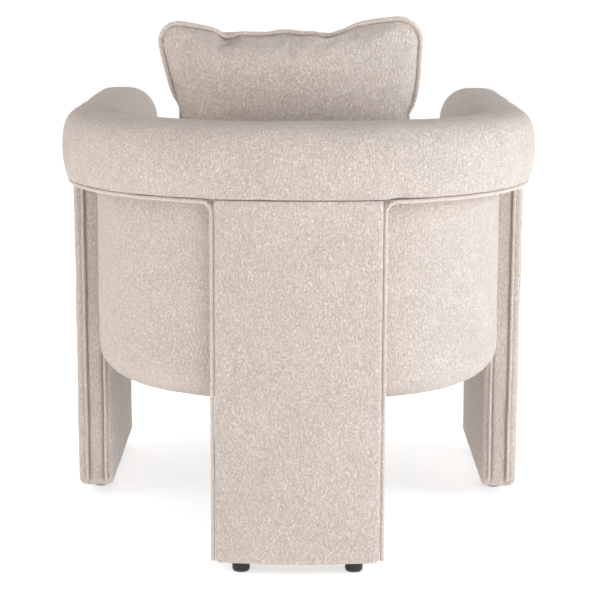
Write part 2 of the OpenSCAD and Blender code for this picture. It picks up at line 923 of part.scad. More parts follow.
// The pillow stands clear of the roll, both at its side edges and at the fullest part of its back.
pillow_side_y = back_line_y(pillow_half_w, roll_w) - 2 * welt_r - 32;
pillow_middle_y = back_y - roll_w - pillow_t / 2 - 28;
pillow_y = min(pillow_side_y, pillow_middle_y)
    - max(0, roll_base_z + roll_h - pillow_z) * tan(pillow_lean);

// Unit outline of the pillow with its outward direction: [across, up, angle].
function turn_quarter(p, q) = q == 0 ? p : turn_quarter([-p[1], p[0], p[2] + 90], q - 1);
pillow_unit = [for (q = [3 : -1 : 0]) each concat(
    [for (k = [3 : -1 : 1]) turn_quarter([(1 - pillow_corner) * (1 - k / 2), 1, 90], q)],
    [for (i = [5 : -1 : 0]) let (a = 18 * i)
        turn_quarter([1 - pillow_corner + pillow_corner * cos(a),
            1 - pillow_corner + pillow_corner * sin(a), a], q)])];
// The corners stand out past sides that pull in.
function pillow_pt(p, grow) =
    [pillow_half_w * p[0] * (1 - 0.055 * (1 - p[1] * p[1])) + grow * cos(p[2]),
     pillow_half_h * p[1] * (1 - 0.035 * (1 - p[0] * p[0])) + grow * sin(p[2])];
function pillow_ring(scale, y, inset) =
    [for (p = pillow_unit) let (o = pillow_pt(p, -inset)) [scale * o[0], y, scale * o[1]]];
function pillow_bulge(scale, half_t, edge) =
    edge + (half_t - edge) * pow(max(0, 1 - pow(scale, 2.6)), 0.75);
function pillow_skin(inset) =
    let (half_t = pillow_t / 2 - inset, edge = max(1, pillow_edge - inset))
    concat(
        [for (k = [1 : pillow_rings]) let (f = k / pillow_rings)
            pillow_ring(f, -pillow_bulge(f, half_t, edge), inset)],
        [for (k = [pillow_rings : -1 : 1]) let (f = k / pillow_rings)
            pillow_ring(f, pillow_bulge(f, half_t, edge), inset)]);

module place_pillow() {
    translate([0, pillow_y, pillow_z])
        rotate([-pillow_lean, 0, 0])
            children();
}

pillow_cover_t = 3;
module back_pillow_cover() {
    color(cream)
        place_pillow()
            difference() {
                skin(pillow_skin(0));
                skin(pillow_skin(pillow_cover_t));
            }
}

module back_pillow_fill() {
    color(foam)
        place_pillow()
            skin(pillow_skin(pillow_cover_t + gap));
}

module back_pillow_welt() {
    path = [for (p = pillow_unit) let (o = pillow_pt(p, welt_r + 0.4)) [o[0], 0, o[1]]];
    color(cream)
        place_pillow()
            skin(cord_rings(path, [for (p = path) [0, -1, 0]], welt_r, true), true);
}

roll_pad();
top_ring();
ring_screws();
tub_ribs();
tub_shell_board();
inner_board();
inner_lining();
tub_panel_left();
tub_panel_right();
tub_edge_left();
tub_edge_right();
base_ring();
seat_rail();
front_rail();
corner_blocks();
webbing_long();
webbing_cross();
deck_pad();
front_facing();
dust_cover();
roll_underside_left();
roll_underside_right();
roll_welt_left();
roll_welt_right();
back_leg_frame();
side_leg_frame_left();
side_leg_frame_right();
back_leg_cover();
side_leg_cover_left();
side_leg_cover_right();
leg_packers();
leg_blocks();
leg_bolts();
leg_washers();
leg_tee_nuts();
side_leg_welts_left();
side_leg_welts_right();
leg_bottom_cloths();
glide_pads();
glide_studs();
seat_cushion_cover();
seat_cushion_core();
seat_cushion_welts();
seat_cushion_zip();
back_pillow_cover();
back_pillow_fill();
back_pillow_welt();
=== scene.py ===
import math
import random

import bmesh
import bpy
import numpy as np
from mathutils import Matrix, Quaternion, Vector, noise
from mathutils.bvhtree import BVHTree


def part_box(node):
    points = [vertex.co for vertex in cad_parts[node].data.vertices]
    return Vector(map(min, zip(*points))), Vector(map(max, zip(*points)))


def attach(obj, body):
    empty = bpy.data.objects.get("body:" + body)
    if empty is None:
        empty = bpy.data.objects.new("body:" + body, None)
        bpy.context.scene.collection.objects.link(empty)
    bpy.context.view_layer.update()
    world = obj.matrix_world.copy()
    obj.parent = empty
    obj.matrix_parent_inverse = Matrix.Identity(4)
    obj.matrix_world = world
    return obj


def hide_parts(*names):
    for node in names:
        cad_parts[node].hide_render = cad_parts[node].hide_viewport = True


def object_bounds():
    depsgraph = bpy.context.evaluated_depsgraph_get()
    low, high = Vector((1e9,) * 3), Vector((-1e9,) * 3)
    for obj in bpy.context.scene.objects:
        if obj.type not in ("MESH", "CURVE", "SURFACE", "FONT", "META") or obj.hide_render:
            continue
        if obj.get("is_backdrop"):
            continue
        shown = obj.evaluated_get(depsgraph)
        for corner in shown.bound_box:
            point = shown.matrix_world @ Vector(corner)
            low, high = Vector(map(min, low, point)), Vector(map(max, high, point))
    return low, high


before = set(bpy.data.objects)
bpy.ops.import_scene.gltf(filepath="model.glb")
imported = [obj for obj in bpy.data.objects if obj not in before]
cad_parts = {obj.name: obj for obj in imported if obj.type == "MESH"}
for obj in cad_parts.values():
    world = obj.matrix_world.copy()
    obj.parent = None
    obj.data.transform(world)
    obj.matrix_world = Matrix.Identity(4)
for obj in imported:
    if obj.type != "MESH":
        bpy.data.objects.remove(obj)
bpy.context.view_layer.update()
scene = bpy.context.scene

# ---- Studio ----
# The chair stands on a plain pale floor under soft white light. A wide soft box to one side of
# its back does most of the work, a weaker one fills the other side, and one lights the seat.
floor_size = 120.0
camera_place = Vector((0.0036, 3.0, 0.9245))
camera_turn = math.radians(-0.13)
camera_dip = math.radians(10.82)
camera_roll = math.radians(0.21)
camera_lens = 109.0


def fresh_material(name):
    """A new node material: (material, its node tree, its Principled shader)."""
    material = bpy.data.materials.new(name)
    material.use_nodes = True
    return material, material.node_tree, material.node_tree.nodes["Principled BSDF"]


def smooth_shaded(mesh):
    """Shades every face of a mesh smooth."""
    mesh.polygons.foreach_set("use_smooth", [True] * len(mesh.polygons))


def add_mesh(name, points, faces):
    """A smooth-shaded mesh object at the origin, linked to the scene."""
    mesh = bpy.data.meshes.new(name)
    mesh.from_pydata([tuple(p) for p in points], [], [tuple(f) for f in faces])
    smooth_shaded(mesh)
    mesh.update()
    piece = bpy.data.objects.new(name, mesh)
    scene.collection.objects.link(piece)
    return piece


def aimed(thing, place, direction):
    """Stands a light or the camera at a place, looking along a direction."""
    stand = bpy.data.objects.new(thing.name, thing)
    stand.location = place
    stand.rotation_mode = "QUATERNION"
    stand.rotation_quaternion = direction.to_track_quat("-Z", "Y")
    scene.collection.objects.link(stand)
    return stand


def soft_box(name, place, aim, size, power, tint):
    """A square area light pointed at a place."""
    light = bpy.data.lights.new(name, "AREA")
    light.size = size
    light.energy = power
    light.color = tint
    aimed(light, place, Vector(aim) - Vector(place))


half_floor = floor_size / 2
floor = add_mesh("floor", [(-half_floor, -half_floor, 0), (half_floor, -half_floor, 0),
                           (half_floor, half_floor, 0), (-half_floor, half_floor, 0)],
                 [(0, 1, 2, 3)])
floor_paint, _, shader = fresh_material("floor_paint")
shader.inputs["Base Color"].default_value = (0.90, 0.90, 0.905, 1)
shader.inputs["Roughness"].default_value = 0.7
shader.inputs["Specular IOR Level"].default_value = 0.2
shader.inputs["Emission Color"].default_value = (1, 1, 1, 1)
shader.inputs["Emission Strength"].default_value = 0.55
floor.data.materials.append(floor_paint)
floor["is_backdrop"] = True

world = bpy.data.worlds.new("studio_air")
world.use_nodes = True
air = world.node_tree
air.nodes["Background"].inputs["Color"].default_value = (1.0, 0.98, 0.965, 1)
air.nodes["Background"].inputs["Strength"].default_value = 0.54
backdrop = air.nodes.new("ShaderNodeBackground")
backdrop.inputs["Strength"].default_value = 1.1
seen = air.nodes.new("ShaderNodeLightPath")
either = air.nodes.new("ShaderNodeMixShader")
air.links.new(seen.outputs["Is Camera Ray"], either.inputs["Fac"])
air.links.new(air.nodes["Background"].outputs[0], either.inputs[1])
air.links.new(backdrop.outputs[0], either.inputs[2])
air.links.new(either.outputs[0], air.nodes["World Output"].inputs["Surface"])
scene.world = world
scene.view_settings.view_transform = "Standard"
soft_box("key_light", (-3.4, 0.8, 1.2), (0, 0, 0.45), 2.0, 76, (0.90, 0.98, 1.03))
soft_box("fill_light", (3.2, 0.9, 1.2), (0, 0, 0.45), 2.0, 28, (1.0, 0.975, 0.95))
soft_box("back_light", (-0.7, 3.4, 1.5), (0, 0, 0.7), 1.0, 22, (1.0, 0.98, 0.96))
soft_box("front_light", (0.8, -3.0, 2.2), (0, 0, 0.45), 2.4, 20, (1.0, 0.99, 0.98))

camera = bpy.data.cameras.new("camera")
camera.lens = camera_lens
camera.sensor_width = 36
camera_aim = Vector((math.sin(camera_turn) * math.cos(camera_dip),
                     -math.cos(camera_turn) * math.cos(camera_dip), -math.sin(camera_dip)))
scene.camera = aimed(camera, camera_place, camera_aim)
scene.camera.rotation_quaternion @= Quaternion((0, 0, 1), camera_roll)

# ---- Frame timber ----
# The ribs, rails, rings, leg frames and blocks are bare birch, some solid and some plywood, cut
# on a router and glued and screwed. All of it is hidden once the chair is covered.
birch_nodes = ["top_ring", "tub_ribs", "base_ring", "seat_rail", "front_rail", "corner_blocks",
               "leg_packers", "leg_blocks", "back_leg_frame", "side_leg_frame_left",
               "side_leg_frame_right"]
ply_layer = 0.0014


def added(tree, kind, inputs=(), **settings):
    """A new node with its settings, and its inputs wired to sockets or given plain values."""
    node = tree.nodes.new(kind)
    for name, value in settings.items():
        setattr(node, name, value)
    for name, value in dict(inputs).items():
        if isinstance(value, bpy.types.NodeSocket):
            tree.links.new(value, node.inputs[name])
        else:
            node.inputs[name].default_value = value
    return node


def maths(tree, operation, *values):
    """A Math node fed with sockets or plain numbers; gives back its output."""
    return added(tree, "ShaderNodeMath", enumerate(values), operation=operation).outputs[0]


def colour_blend(tree, mask, dark, light):
    """A colour between two, picked by a mask; each colour is a socket or a plain triple."""
    dark, light = ((*c, 1) if isinstance(c, tuple) else c for c in (dark, light))
    return added(tree, "ShaderNodeMix", {0: mask, 6: dark, 7: light}, data_type="RGBA").outputs[2]


def stretch(tree, value, low, high, new_low, new_high):
    """A value moved from one range to another and held inside it."""
    return added(tree, "ShaderNodeMapRange", {"Value": value, "From Min": low, "From Max": high,
                                              "To Min": new_low, "To Max": new_high}).outputs[0]


def speckle(tree, place, scale, detail=3.0, distortion=0.0):
    """Noise at a place, about scale specks to the unit; gives back its value."""
    return added(tree, "ShaderNodeTexNoise", {"Vector": place, "Scale": scale, "Detail": detail,
                                              "Distortion": distortion}).outputs[0]


def mapped(tree, scale=1):
    """The piece's own coordinates in metres, scaled alike or along each direction."""
    place = tree.nodes.new("ShaderNodeTexCoord").outputs["Object"]
    scale = scale if isinstance(scale, tuple) else (scale,) * 3
    return added(tree, "ShaderNodeMapping", {"Vector": place, "Scale": scale}).outputs["Vector"]


def flecks(tree, scale, detail=3.0, distortion=0.0):
    """Noise on the piece's own coordinates, scale specks to the metre."""
    return speckle(tree, mapped(tree, scale), 1.0, detail, distortion)


def finish(tree, shader, colour, roughness, height, depth, strength):
    """Feeds the shader a colour, a roughness and a height in 0 to 1, raised by depth metres."""
    bump = added(tree, "ShaderNodeBump", {"Height": height, "Distance": depth,
                                          "Strength": strength})
    for name, value in (("Base Color", colour), ("Roughness", roughness),
                        ("Normal", bump.outputs["Normal"])):
        tree.links.new(value, shader.inputs[name])


def finish_nodes(names, material):
    """Gives carried-over parts of the frame their finish."""
    for name in names:
        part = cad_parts[name]
        part.data.materials.clear()
        part.data.materials.append(material)


birch, tree, shader = fresh_material("birch")
grain = flecks(tree, (140, 140, 9), 4.0, 1.2)
figure = flecks(tree, (22, 22, 4), 2.0, 0.6)
layers = added(tree, "ShaderNodeTexWave", {"Vector": mapped(tree), "Scale": 0.314 / ply_layer,
                                           "Distortion": 0.3}, bands_direction="Z")
pale = colour_blend(tree, grain, (0.60, 0.45, 0.27), (0.80, 0.66, 0.46))
aged = colour_blend(tree, stretch(tree, figure, 0.3, 0.7, 0, 1), pale, (0.74, 0.58, 0.38))
ply_mask = stretch(tree, layers.outputs["Fac"], 0.2, 0.5, 0.25, 0.0)
finish(tree, shader, colour_blend(tree, ply_mask, aged, (0.42, 0.28, 0.15)),
       stretch(tree, grain, 0.2, 0.8, 0.72, 0.52), grain, 0.0004, 0.6)
finish_nodes(birch_nodes, birch)

# ---- Bent boards ----
# Thin hardboard is wrapped round the ribs, outside and inside, and stapled, so the fabric has a
# smooth wall to lie on. It is brown pressed fibre with a faint mottle.
hardboard, tree, shader = fresh_material("hardboard")
fibre = flecks(tree, 900, 5.0, 0.8)
mottle = stretch(tree, flecks(tree, 30, 2.0), 0.35, 0.65, 0, 0.5)
fibre_colour = colour_blend(tree, fibre, (0.34, 0.22, 0.12), (0.52, 0.36, 0.21))
finish(tree, shader, colour_blend(tree, mottle, fibre_colour, (0.40, 0.28, 0.17)),
       stretch(tree, fibre, 0.2, 0.8, 0.65, 0.45), fibre, 0.0002, 0.5)
finish_nodes(["tub_shell_board", "inner_board"], hardboard)

# ---- Screws, bolts, washers, tee nuts and glide studs ----
# Zinc-plated steel fixings hold the top ring to the ribs and the legs to the tub, and each
# glide turns on a steel stud. The plating is bright, with a faint cloudy spangle.
zinc, tree, shader = fresh_material("zinc_plate")
shader.inputs["Metallic"].default_value = 1.0
spangle = added(tree, "ShaderNodeTexVoronoi", {"Vector": mapped(tree), "Scale": 420})
scratch = flecks(tree, (2500, 2500, 300))
finish(tree, shader, colour_blend(tree, spangle.outputs["Distance"], (0.60, 0.61, 0.63),
                                  (0.74, 0.75, 0.76)),
       stretch(tree, scratch, 0.3, 0.7, 0.25, 0.42), scratch, 0.00005, 0.4)
finish_nodes(["ring_screws", "leg_bolts", "leg_washers", "leg_tee_nuts", "glide_studs"], zinc)

# ---- Seat webbing ----
# Elastic webbing straps cross the seat opening and are stapled to the rails. They are black
# woven tape with a fine rib along their length.


def node_group(name, kind, inputs, outputs):
    """A new node group with named sockets: (group, its input node, its output node)."""
    group = bpy.data.node_groups.new(name, kind)
    for direction, sockets in (("INPUT", inputs), ("OUTPUT", outputs)):
        for socket, what in sockets:
            group.interface.new_socket(socket, in_out=direction, socket_type="NodeSocket" + what)
    return group, group.nodes.new("NodeGroupInput"), group.nodes.new("NodeGroupOutput")


def weave_group():
    """Node group: plain weave of given thread spacings, with a value for crossings."""
    group, given, result = node_group(
        "plain weave", "ShaderNodeTree", (("Place", "Vector"), ("Warp Spacing", "Float"),
                                          ("Weft Spacing", "Float"), ("Unevenness", "Float")),
        (("Height", "Float"), ("Fleck", "Float")))
    apart = added(group, "ShaderNodeSeparateXYZ", {0: given.outputs["Place"]})
    waves = []
    for axis, spacing in (("X", "Warp Spacing"), ("Y", "Weft Spacing")):
        threads = maths(group, "DIVIDE", apart.outputs[axis], given.outputs[spacing])
        waves.append(maths(group, "SINE", maths(group, "MULTIPLY", threads, math.pi)))
    cross = maths(group, "MULTIPLY", *waves)
    ribs = maths(group, "MAXIMUM", *[maths(group, "ABSOLUTE", wave) for wave in waves])
    fleck = speckle(group, given.outputs["Place"], 600.0, 4.0)
    rough = maths(group, "MULTIPLY", fleck, given.outputs["Unevenness"])
    height = maths(group, "ADD", maths(group, "MULTIPLY", cross, 0.3), ribs)
    group.links.new(maths(group, "ADD", height, rough), result.inputs["Height"])
    group.links.new(fleck, result.inputs["Fleck"])
    return group


weave = weave_group()


def woven_material(name, dark, light, warp, weft, depth, uneven, roughness):
    """A woven cloth finish from the plain weave group, with painted shade between the threads."""
    material, tree, shader = fresh_material(name)
    cloth = added(tree, "ShaderNodeGroup", {"Place": mapped(tree), "Warp Spacing": warp,
                                            "Weft Spacing": weft, "Unevenness": uneven},
                  node_tree=weave)
    height, fleck = cloth.outputs["Height"], cloth.outputs["Fleck"]
    # Painted shade: the cloth is darker in the hollows between threads, where the weave's height is
    # low, and flecked at random.
    paleness = maths(tree, "MULTIPLY", stretch(tree, height, 0.3, 1.3, 0, 1),
                 stretch(tree, fleck, 0.3, 0.7, 0.75, 1.0))
    finish(tree, shader, colour_blend(tree, paleness, dark, light),
           stretch(tree, fleck, 0.2, 0.8, roughness, 1.0), height, depth, 0.8)
    return material


webbing = woven_material("webbing", (0.012, 0.012, 0.014), (0.055, 0.055, 0.06),
                         0.0022, 0.0014, 0.0005, 0.4, 0.6)
finish_nodes(["webbing_long", "webbing_cross"], webbing)

# ---- Roll cover ----
# One padded roll makes the back and both arms. Foam and wadding are wrapped round the plywood
# top ring and covered with cream boucle, pulled tight over the top and tucked in below.
roll_low, roll_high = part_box("roll_pad")
roll_w = 0.120
roll_tuck = 0.008
roll_leg_tuck = 0.003
arm_round = 0.034
corner_in = 0.055
back_bulge = 0.004
leg_half_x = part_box("back_leg_cover")[1].x
leg_rear_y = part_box("side_leg_cover_right")[1].y
leg_front_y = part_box("side_leg_cover_right")[0].y
roll_crease = 0.0011
roll_step = 0.0075
roll_widest = 0.42
roll_tuck_turn = 50
roll_outer_power = (0.54, 0.70)
roll_inner_power = (0.86, 0.92)
roll_end_power = 2.3

half_w = roll_high.x
front_y = roll_low.y
back_y = roll_high.y
corner_r = half_w - corner_in
corner_y = back_y - back_bulge - corner_r
arc_offset = (corner_in ** 2 + back_bulge ** 2) / (2 * back_bulge)
back_r = corner_r + arc_offset
back_cy = back_y - back_r
corner_a = math.acos(corner_in / arc_offset)
arm_len = corner_y - front_y
corner_len = corner_r * corner_a
half_len = arm_len + corner_len + back_r * (math.pi / 2 - corner_a)


def plan_turn(s):
    """Outward direction, as an angle, at a station s along the right half of the outline."""
    if s < arm_len:
        return 0.0
    if s < arm_len + corner_len:
        return (s - arm_len) / corner_r
    return corner_a + (s - arm_len - corner_len) / back_r


def plan_point(s, inset):
    """Place at a station round the whole U, counted from the right arm's front."""
    side = 1
    if s > half_len:
        side, s = -1, 2 * half_len - s
    turn = plan_turn(s)
    if s < arm_len:
        x, y = half_w - inset, front_y + s
    elif s < arm_len + corner_len:
        x = corner_in + (corner_r - inset) * math.cos(turn)
        y = corner_y + (corner_r - inset) * math.sin(turn)
    else:
        x = (back_r - inset) * math.cos(turn)
        y = back_cy + (back_r - inset) * math.sin(turn)
    return side * x, y


def steps(start, end, size):
    """Even steps from start up to end, end left out."""
    count = max(1, round((end - start) / size))
    return [start + (end - start) * k / count for k in range(count)]


def whole_u(first_half):
    """Stations of the right half, ending at the middle, carried on round the left half."""
    return first_half + [2 * half_len - s for s in reversed(first_half[:-1])]


def ease(value, low, high):
    """0 below low and 1 above high, turning smoothly between them."""
    t = min(1.0, max(0.0, (value - low) / (high - low)))
    return t * t * (3 - 2 * t)


def loft(name, rings, closed=False, caps=True):
    """A skin over rings of equal numbers of points, with its ends closed over."""
    count = len(rings[0])
    points = [p for ring in rings for p in ring]
    faces = []
    for i in range(len(rings) if closed else len(rings) - 1):
        a, b = i * count, (i + 1) % len(rings) * count
        faces += [(a + j, b + j, b + (j + 1) % count, a + (j + 1) % count)
                  for j in range(count)]
    if caps and not closed:
        for start, order in ((0, 1), (len(points) - count, -1)):
            centre = sum((Vector(p) for p in points[start:start + count]), Vector()) / count
            points.append(centre)
            ring = [start + j for j in range(count)][::order]
            faces += [(len(points) - 1, ring[j], ring[(j + 1) % count]) for j in range(count)]
    piece = add_mesh(name, points, faces)
    outward(piece)
    return piece


def faces_out(shape):
    """True when a closed shape's faces point outwards."""
    return shape.calc_volume(signed=True) >= 0


def outward(piece, is_right=faces_out):
    """Merges doubled points and turns every face the right way."""
    shape = bmesh.new()
    shape.from_mesh(piece.data)
    bmesh.ops.remove_doubles(shape, verts=shape.verts, dist=1e-6)
    bmesh.ops.recalc_face_normals(shape, faces=shape.faces)
    if not is_right(shape):
        bmesh.ops.reverse_faces(shape, faces=shape.faces)
    shape.to_mesh(piece.data)
    shape.free()
    smooth_shaded(piece.data)
    piece.data.update()


def ruffle(piece, amount, size, seed, weight=None):
    """Low soft unevenness of hand-laid wadding, along the normals."""
    normals = [v.normal.copy() for v in piece.data.vertices]
    shift = Vector((seed * 3.7, seed * 1.3, seed * 2.1))
    for v, n in zip(piece.data.vertices, normals):
        push = noise.noise(v.co / size + shift) + 0.5 * noise.noise(v.co / (0.42 * size) - shift)
        v.co += n * push * amount * (weight(v.co) if weight else 1.0)
    piece.data.update()


def smoother(piece, levels=1):
    """One or more rounds of subdivision, the same in view and render."""
    modifier = piece.modifiers.new("Subdivision", "SUBSURF")
    modifier.levels = levels
    modifier.render_levels = levels


def leg_nearness(s):
    """1 at stations where a leg runs up into the roll and 0 between the legs."""
    x, y = plan_point(s, 0.0)
    side_leg = 1 - ease(y, leg_rear_y - 0.012, leg_rear_y + 0.016)
    back_leg = 1 - ease(abs(x), leg_half_x - 0.006, leg_half_x + 0.022)
    return max(side_leg, back_leg if y > 0 else 0)


def roll_section(s, shrink):
    """The roll's cross-section at a station, as [inset, height] going round."""
    half = roll_w / 2
    mid = roll_low.z + roll_widest * (roll_high.z - roll_low.z)
    up, down = roll_high.z - mid, mid - roll_low.z
    near_leg = leg_nearness(s)
    section = []
    for i in range(48):
        t = math.radians(-roll_tuck_turn + (180 + 2 * roll_tuck_turn) * i / 47)
        reach, rise = math.cos(t), math.sin(t)
        outer = reach > 0
        tuck = roll_tuck + (roll_leg_tuck - roll_tuck) * near_leg if outer else roll_tuck
        if rise < 0:
            deep = rise / math.sin(math.radians(roll_tuck_turn))
            x = math.copysign(half - tuck * deep * deep, reach)
            z = mid + down * deep
        else:
            power = roll_outer_power if outer else roll_inner_power
            x = math.copysign(half * abs(reach) ** power[0], reach)
            z = mid + up * rise ** power[1]
        section.append((x, z))
    first, last = section[0], section[-1]
    for k in range(1, 12):
        f = k / 12
        section.append((last[0] + (first[0] - last[0]) * f, roll_low.z))
    return [(half - shrink * x, mid + shrink * (z - mid)) for x, z in section]


cap_stops = [arm_round * (1 - math.cos(math.pi / 2 * k / 9)) for k in range(9)]
roll_stops = whole_u(cap_stops + steps(arm_round, half_len, roll_step) + [half_len])
roll_rings = []
for s in roll_stops:
    from_end = min(s, 2 * half_len - s)
    shrink = 1.0
    if from_end < arm_round:
        shrink = 0.12 + 0.88 * (1 - (1 - from_end / arm_round) ** roll_end_power) \
            ** (1 / roll_end_power)
    roll_rings.append([(*plan_point(s, inset), z) for inset, z in roll_section(s, shrink)])
roll = loft("roll_cover", roll_rings)


def roll_unevenness(place):
    """Full on the roll's crown, and little where it meets the legs and its own front ends."""
    return 0.35 + 0.65 * ease(place.z, roll_low.z + 0.012, roll_low.z + 0.04)


ruffle(roll, 0.0013, 0.075, 1, roll_unevenness)

# Fabric drawn in at the tuck puckers a little, and two short pulls show where it was stapled.
roll_pulls = [(0.226, 0.589, 0.010, 0.0032), (-0.151, 0.583, 0.012, 0.0030),
              (0.050, 0.580, 0.010, 0.0012), (-0.262, 0.590, 0.014, 0.0014)]
normals = [v.normal.copy() for v in roll.data.vertices]
for v, n in zip(roll.data.vertices, normals):
    outer = ease(n.x * v.co.x + n.y * max(v.co.y, 0), 0.02, 0.12)
    low = 1 - ease(v.co.z, roll_low.z + 0.004, roll_low.z + 0.034)
    ripple = noise.noise(Vector((v.co.x, v.co.y, 0)) / 0.013) * roll_crease
    v.co += n * ripple * low * outer * (1 - ease(leg_half_x - abs(v.co.x), 0.0, 0.02))
    for x, z, size, depth in roll_pulls:
        if v.co.y > 0.1 and outer > 0:
            apart = ((v.co.x - x) / size) ** 2 + ((v.co.z - z) / (1.5 * size)) ** 2
            v.co -= n * depth * math.exp(-apart)
roll.data.update()
smoother(roll)


def boucle_group():
    """Node group: curled loops of boucle yarn, as a colour, a roughness and a height; the colour
    has painted shade in the hollows and painted highlight on the loop tips.
    """
    group, given, result = node_group(
        "boucle curls", "ShaderNodeTree",
        (("Place", "Vector"), ("Curl Width", "Float"), ("Hollow Shade Colour", "Color"),
         ("Yarn Colour", "Color"), ("Tip Highlight Colour", "Color")),
        (("Colour", "Color"), ("Roughness", "Float"), ("Height", "Float")))
    given = given.outputs
    sized = added(group, "ShaderNodeVectorMath",
                  {0: given["Place"], "Scale": maths(group, "DIVIDE", 1.0, given["Curl Width"])},
                  operation="SCALE").outputs[0]
    taller = added(group, "ShaderNodeVectorMath", {0: sized, 1: (1.0, 1.0, 0.62)},
                   operation="MULTIPLY").outputs[0]
    sway = added(group, "ShaderNodeTexNoise", {"Vector": taller, "Scale": 0.55, "Detail": 1.0})
    swayed = added(group, "ShaderNodeVectorMath",
                   {0: sway.outputs["Color"], 1: (2.6, 2.6, 2.6), 2: taller},
                   operation="MULTIPLY_ADD").outputs[0]
    curl = maths(group, "SUBTRACT", speckle(group, swayed, 0.8, 1.5, 0.6), 0.5)
    strand = stretch(group, maths(group, "ABSOLUTE", curl), 0.0, 0.14, 1.0, 0.0)
    nub = added(group, "ShaderNodeTexVoronoi", {"Vector": swayed, "Scale": 0.9,
                                                "Smoothness": 0.35}, feature="SMOOTH_F1")
    lump = stretch(group, nub.outputs["Distance"], 0.1, 0.75, 1.0, 0.0)
    height = maths(group, "MULTIPLY", strand, 0.45)
    for part, share in ((lump, 0.45), (speckle(group, sized, 3.2, 2.0), 0.12)):
        height = maths(group, "ADD", height, maths(group, "MULTIPLY", part, share))
    # Painted shade: the yarn colour sinks to the hollow colour where the loops are low. Painted
    # highlight: it rises to the tip colour on their tops.
    yarn = colour_blend(group, stretch(group, height, 0.12, 0.72, 0.0, 1.0),
                        given["Hollow Shade Colour"], given["Yarn Colour"])
    lit = colour_blend(group, stretch(group, height, 0.62, 0.95, 0.0, 0.7), yarn,
                       given["Tip Highlight Colour"])
    patch = speckle(group, given["Place"], 14.0, 3.0, 0.4)
    tone = added(group, "ShaderNodeHueSaturation",
                 {"Color": lit, "Value": stretch(group, patch, 0.3, 0.7, 0.965, 1.035)})
    for name, value in (("Colour", tone.outputs["Color"]), ("Height", height),
                        ("Roughness", stretch(group, height, 0.0, 1.0, 0.98, 0.80))):
        group.links.new(value, result.inputs[name])
    return group


boucle_curls = boucle_group()


def boucle_material(name, curl, hollow, yarn, tip, depth, strength):
    """A boucle finish on the piece's own coordinates, with painted shade in its hollows and painted
    highlight on its loop tips.
    """
    material, tree, shader = fresh_material(name)
    place = tree.nodes.new("ShaderNodeTexCoord").outputs["Object"]
    cloth = added(tree, "ShaderNodeGroup",
                  {"Place": place, "Curl Width": curl, "Hollow Shade Colour": (*hollow, 1),
                   "Yarn Colour": (*yarn, 1), "Tip Highlight Colour": (*tip, 1)},
                  node_tree=boucle_curls).outputs
    shader.inputs["Sheen Weight"].default_value = 0.22
    shader.inputs["Sheen Roughness"].default_value = 0.55
    shader.inputs["Specular IOR Level"].default_value = 0.25
    finish(tree, shader, cloth["Colour"], cloth["Roughness"], cloth["Height"], depth, strength)
    return material


# Its colours: painted shade for the hollows, the yarn itself, and painted highlight for the loop
# tips.
boucle = boucle_material("cream_boucle", 0.0020, (0.550, 0.468, 0.412), (0.765, 0.678, 0.622),
                         (0.86, 0.785, 0.735), 0.0016, 1.0)
roll.data.materials.append(boucle)
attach(roll, "chair")
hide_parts("roll_pad")

# ---- Tub covers ----
# The drum below the roll is boucle over thin foam, stapled to the bent board. Each outer cover
# runs from a side leg round to the back leg and rolls under the tub's padded lower edge.
tub_top_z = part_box("tub_panel_right")[1].z
tub_low_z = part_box("tub_edge_right")[0].z
tub_edge_top_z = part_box("tub_panel_right")[0].z
tub_in = 0.054
tub_edge_r = 0.050
tub_cover_t = 0.009
tub_front_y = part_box("tub_edge_right")[0].y


def panel_here(s):
    """True at stations between a side leg and the back leg, a little way behind each."""
    x, y = plan_point(s, tub_in)
    return y > leg_rear_y - 0.009 and abs(x) > leg_half_x - 0.009


def thick_sheet(piece, thickness, centre):
    """Turns an open sheet to face away from centre and backs it with thickness."""
    def faces_away(shape):
        return sum(f.normal.dot(f.calc_center_median() - Vector(centre)) * f.calc_area()
                   for f in shape.faces) >= 0
    outward(piece, faces_away)
    backing = piece.modifiers.new("Solidify", "SOLIDIFY")
    backing.thickness = thickness
    backing.offset = -1
    backing.use_even_offset = True


def grid_faces(rows, columns, first_row=0):
    """Faces of a grid of points laid row by row, from a first column of each row on."""
    return [(i * columns + k, i * columns + k + 1, (i + 1) * columns + k + 1,
             (i + 1) * columns + k) for i in range(rows - 1) for k in range(first_row, columns - 1)]


tub_profile = [(tub_in, tub_top_z + (tub_edge_top_z - tub_top_z) * k / 22) for k in range(22)]
edge_start = len(tub_profile)
for k in range(13):
    a = math.radians(90 * k / 12)
    tub_profile.append((tub_in + tub_edge_r * (1 - math.cos(a)),
                        tub_low_z + tub_edge_r * (1 - math.sin(a))))
tub_stops = whole_u(steps(tub_front_y - front_y, half_len, 0.0085) + [half_len])
for name, side in (("tub_cover_right", 1), ("tub_cover_left", -1)):
    points, faces = [], []
    half_stops = [s for s in tub_stops if (s - half_len) * side <= 1e-9]
    for s in half_stops:
        points += [(*plan_point(s, inset), z) for inset, z in tub_profile]
    rows = len(tub_profile)
    for i in range(len(half_stops) - 1):
        first_row = 0 if panel_here(half_stops[i]) and panel_here(half_stops[i + 1]) \
            else edge_start
        faces += [(i * rows + k, i * rows + k + 1, (i + 1) * rows + k + 1, (i + 1) * rows + k)
                  for k in range(first_row, rows - 1)]
    used = sorted({corner for face in faces for corner in face})
    renumber = {old: new for new, old in enumerate(used)}
    cover = add_mesh(name, [points[i] for i in used],
                     [[renumber[c] for c in face] for face in faces])
    thick_sheet(cover, tub_cover_t, (0, -0.1, 0.45))
    ruffle(cover, 0.0011, 0.09, 4 + side)
    smoother(cover)
    cover.data.materials.append(boucle)
    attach(cover, "chair")
    if side > 0:
        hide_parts("tub_panel_right", "tub_edge_right")
    else:
        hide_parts("tub_panel_left", "tub_edge_left")


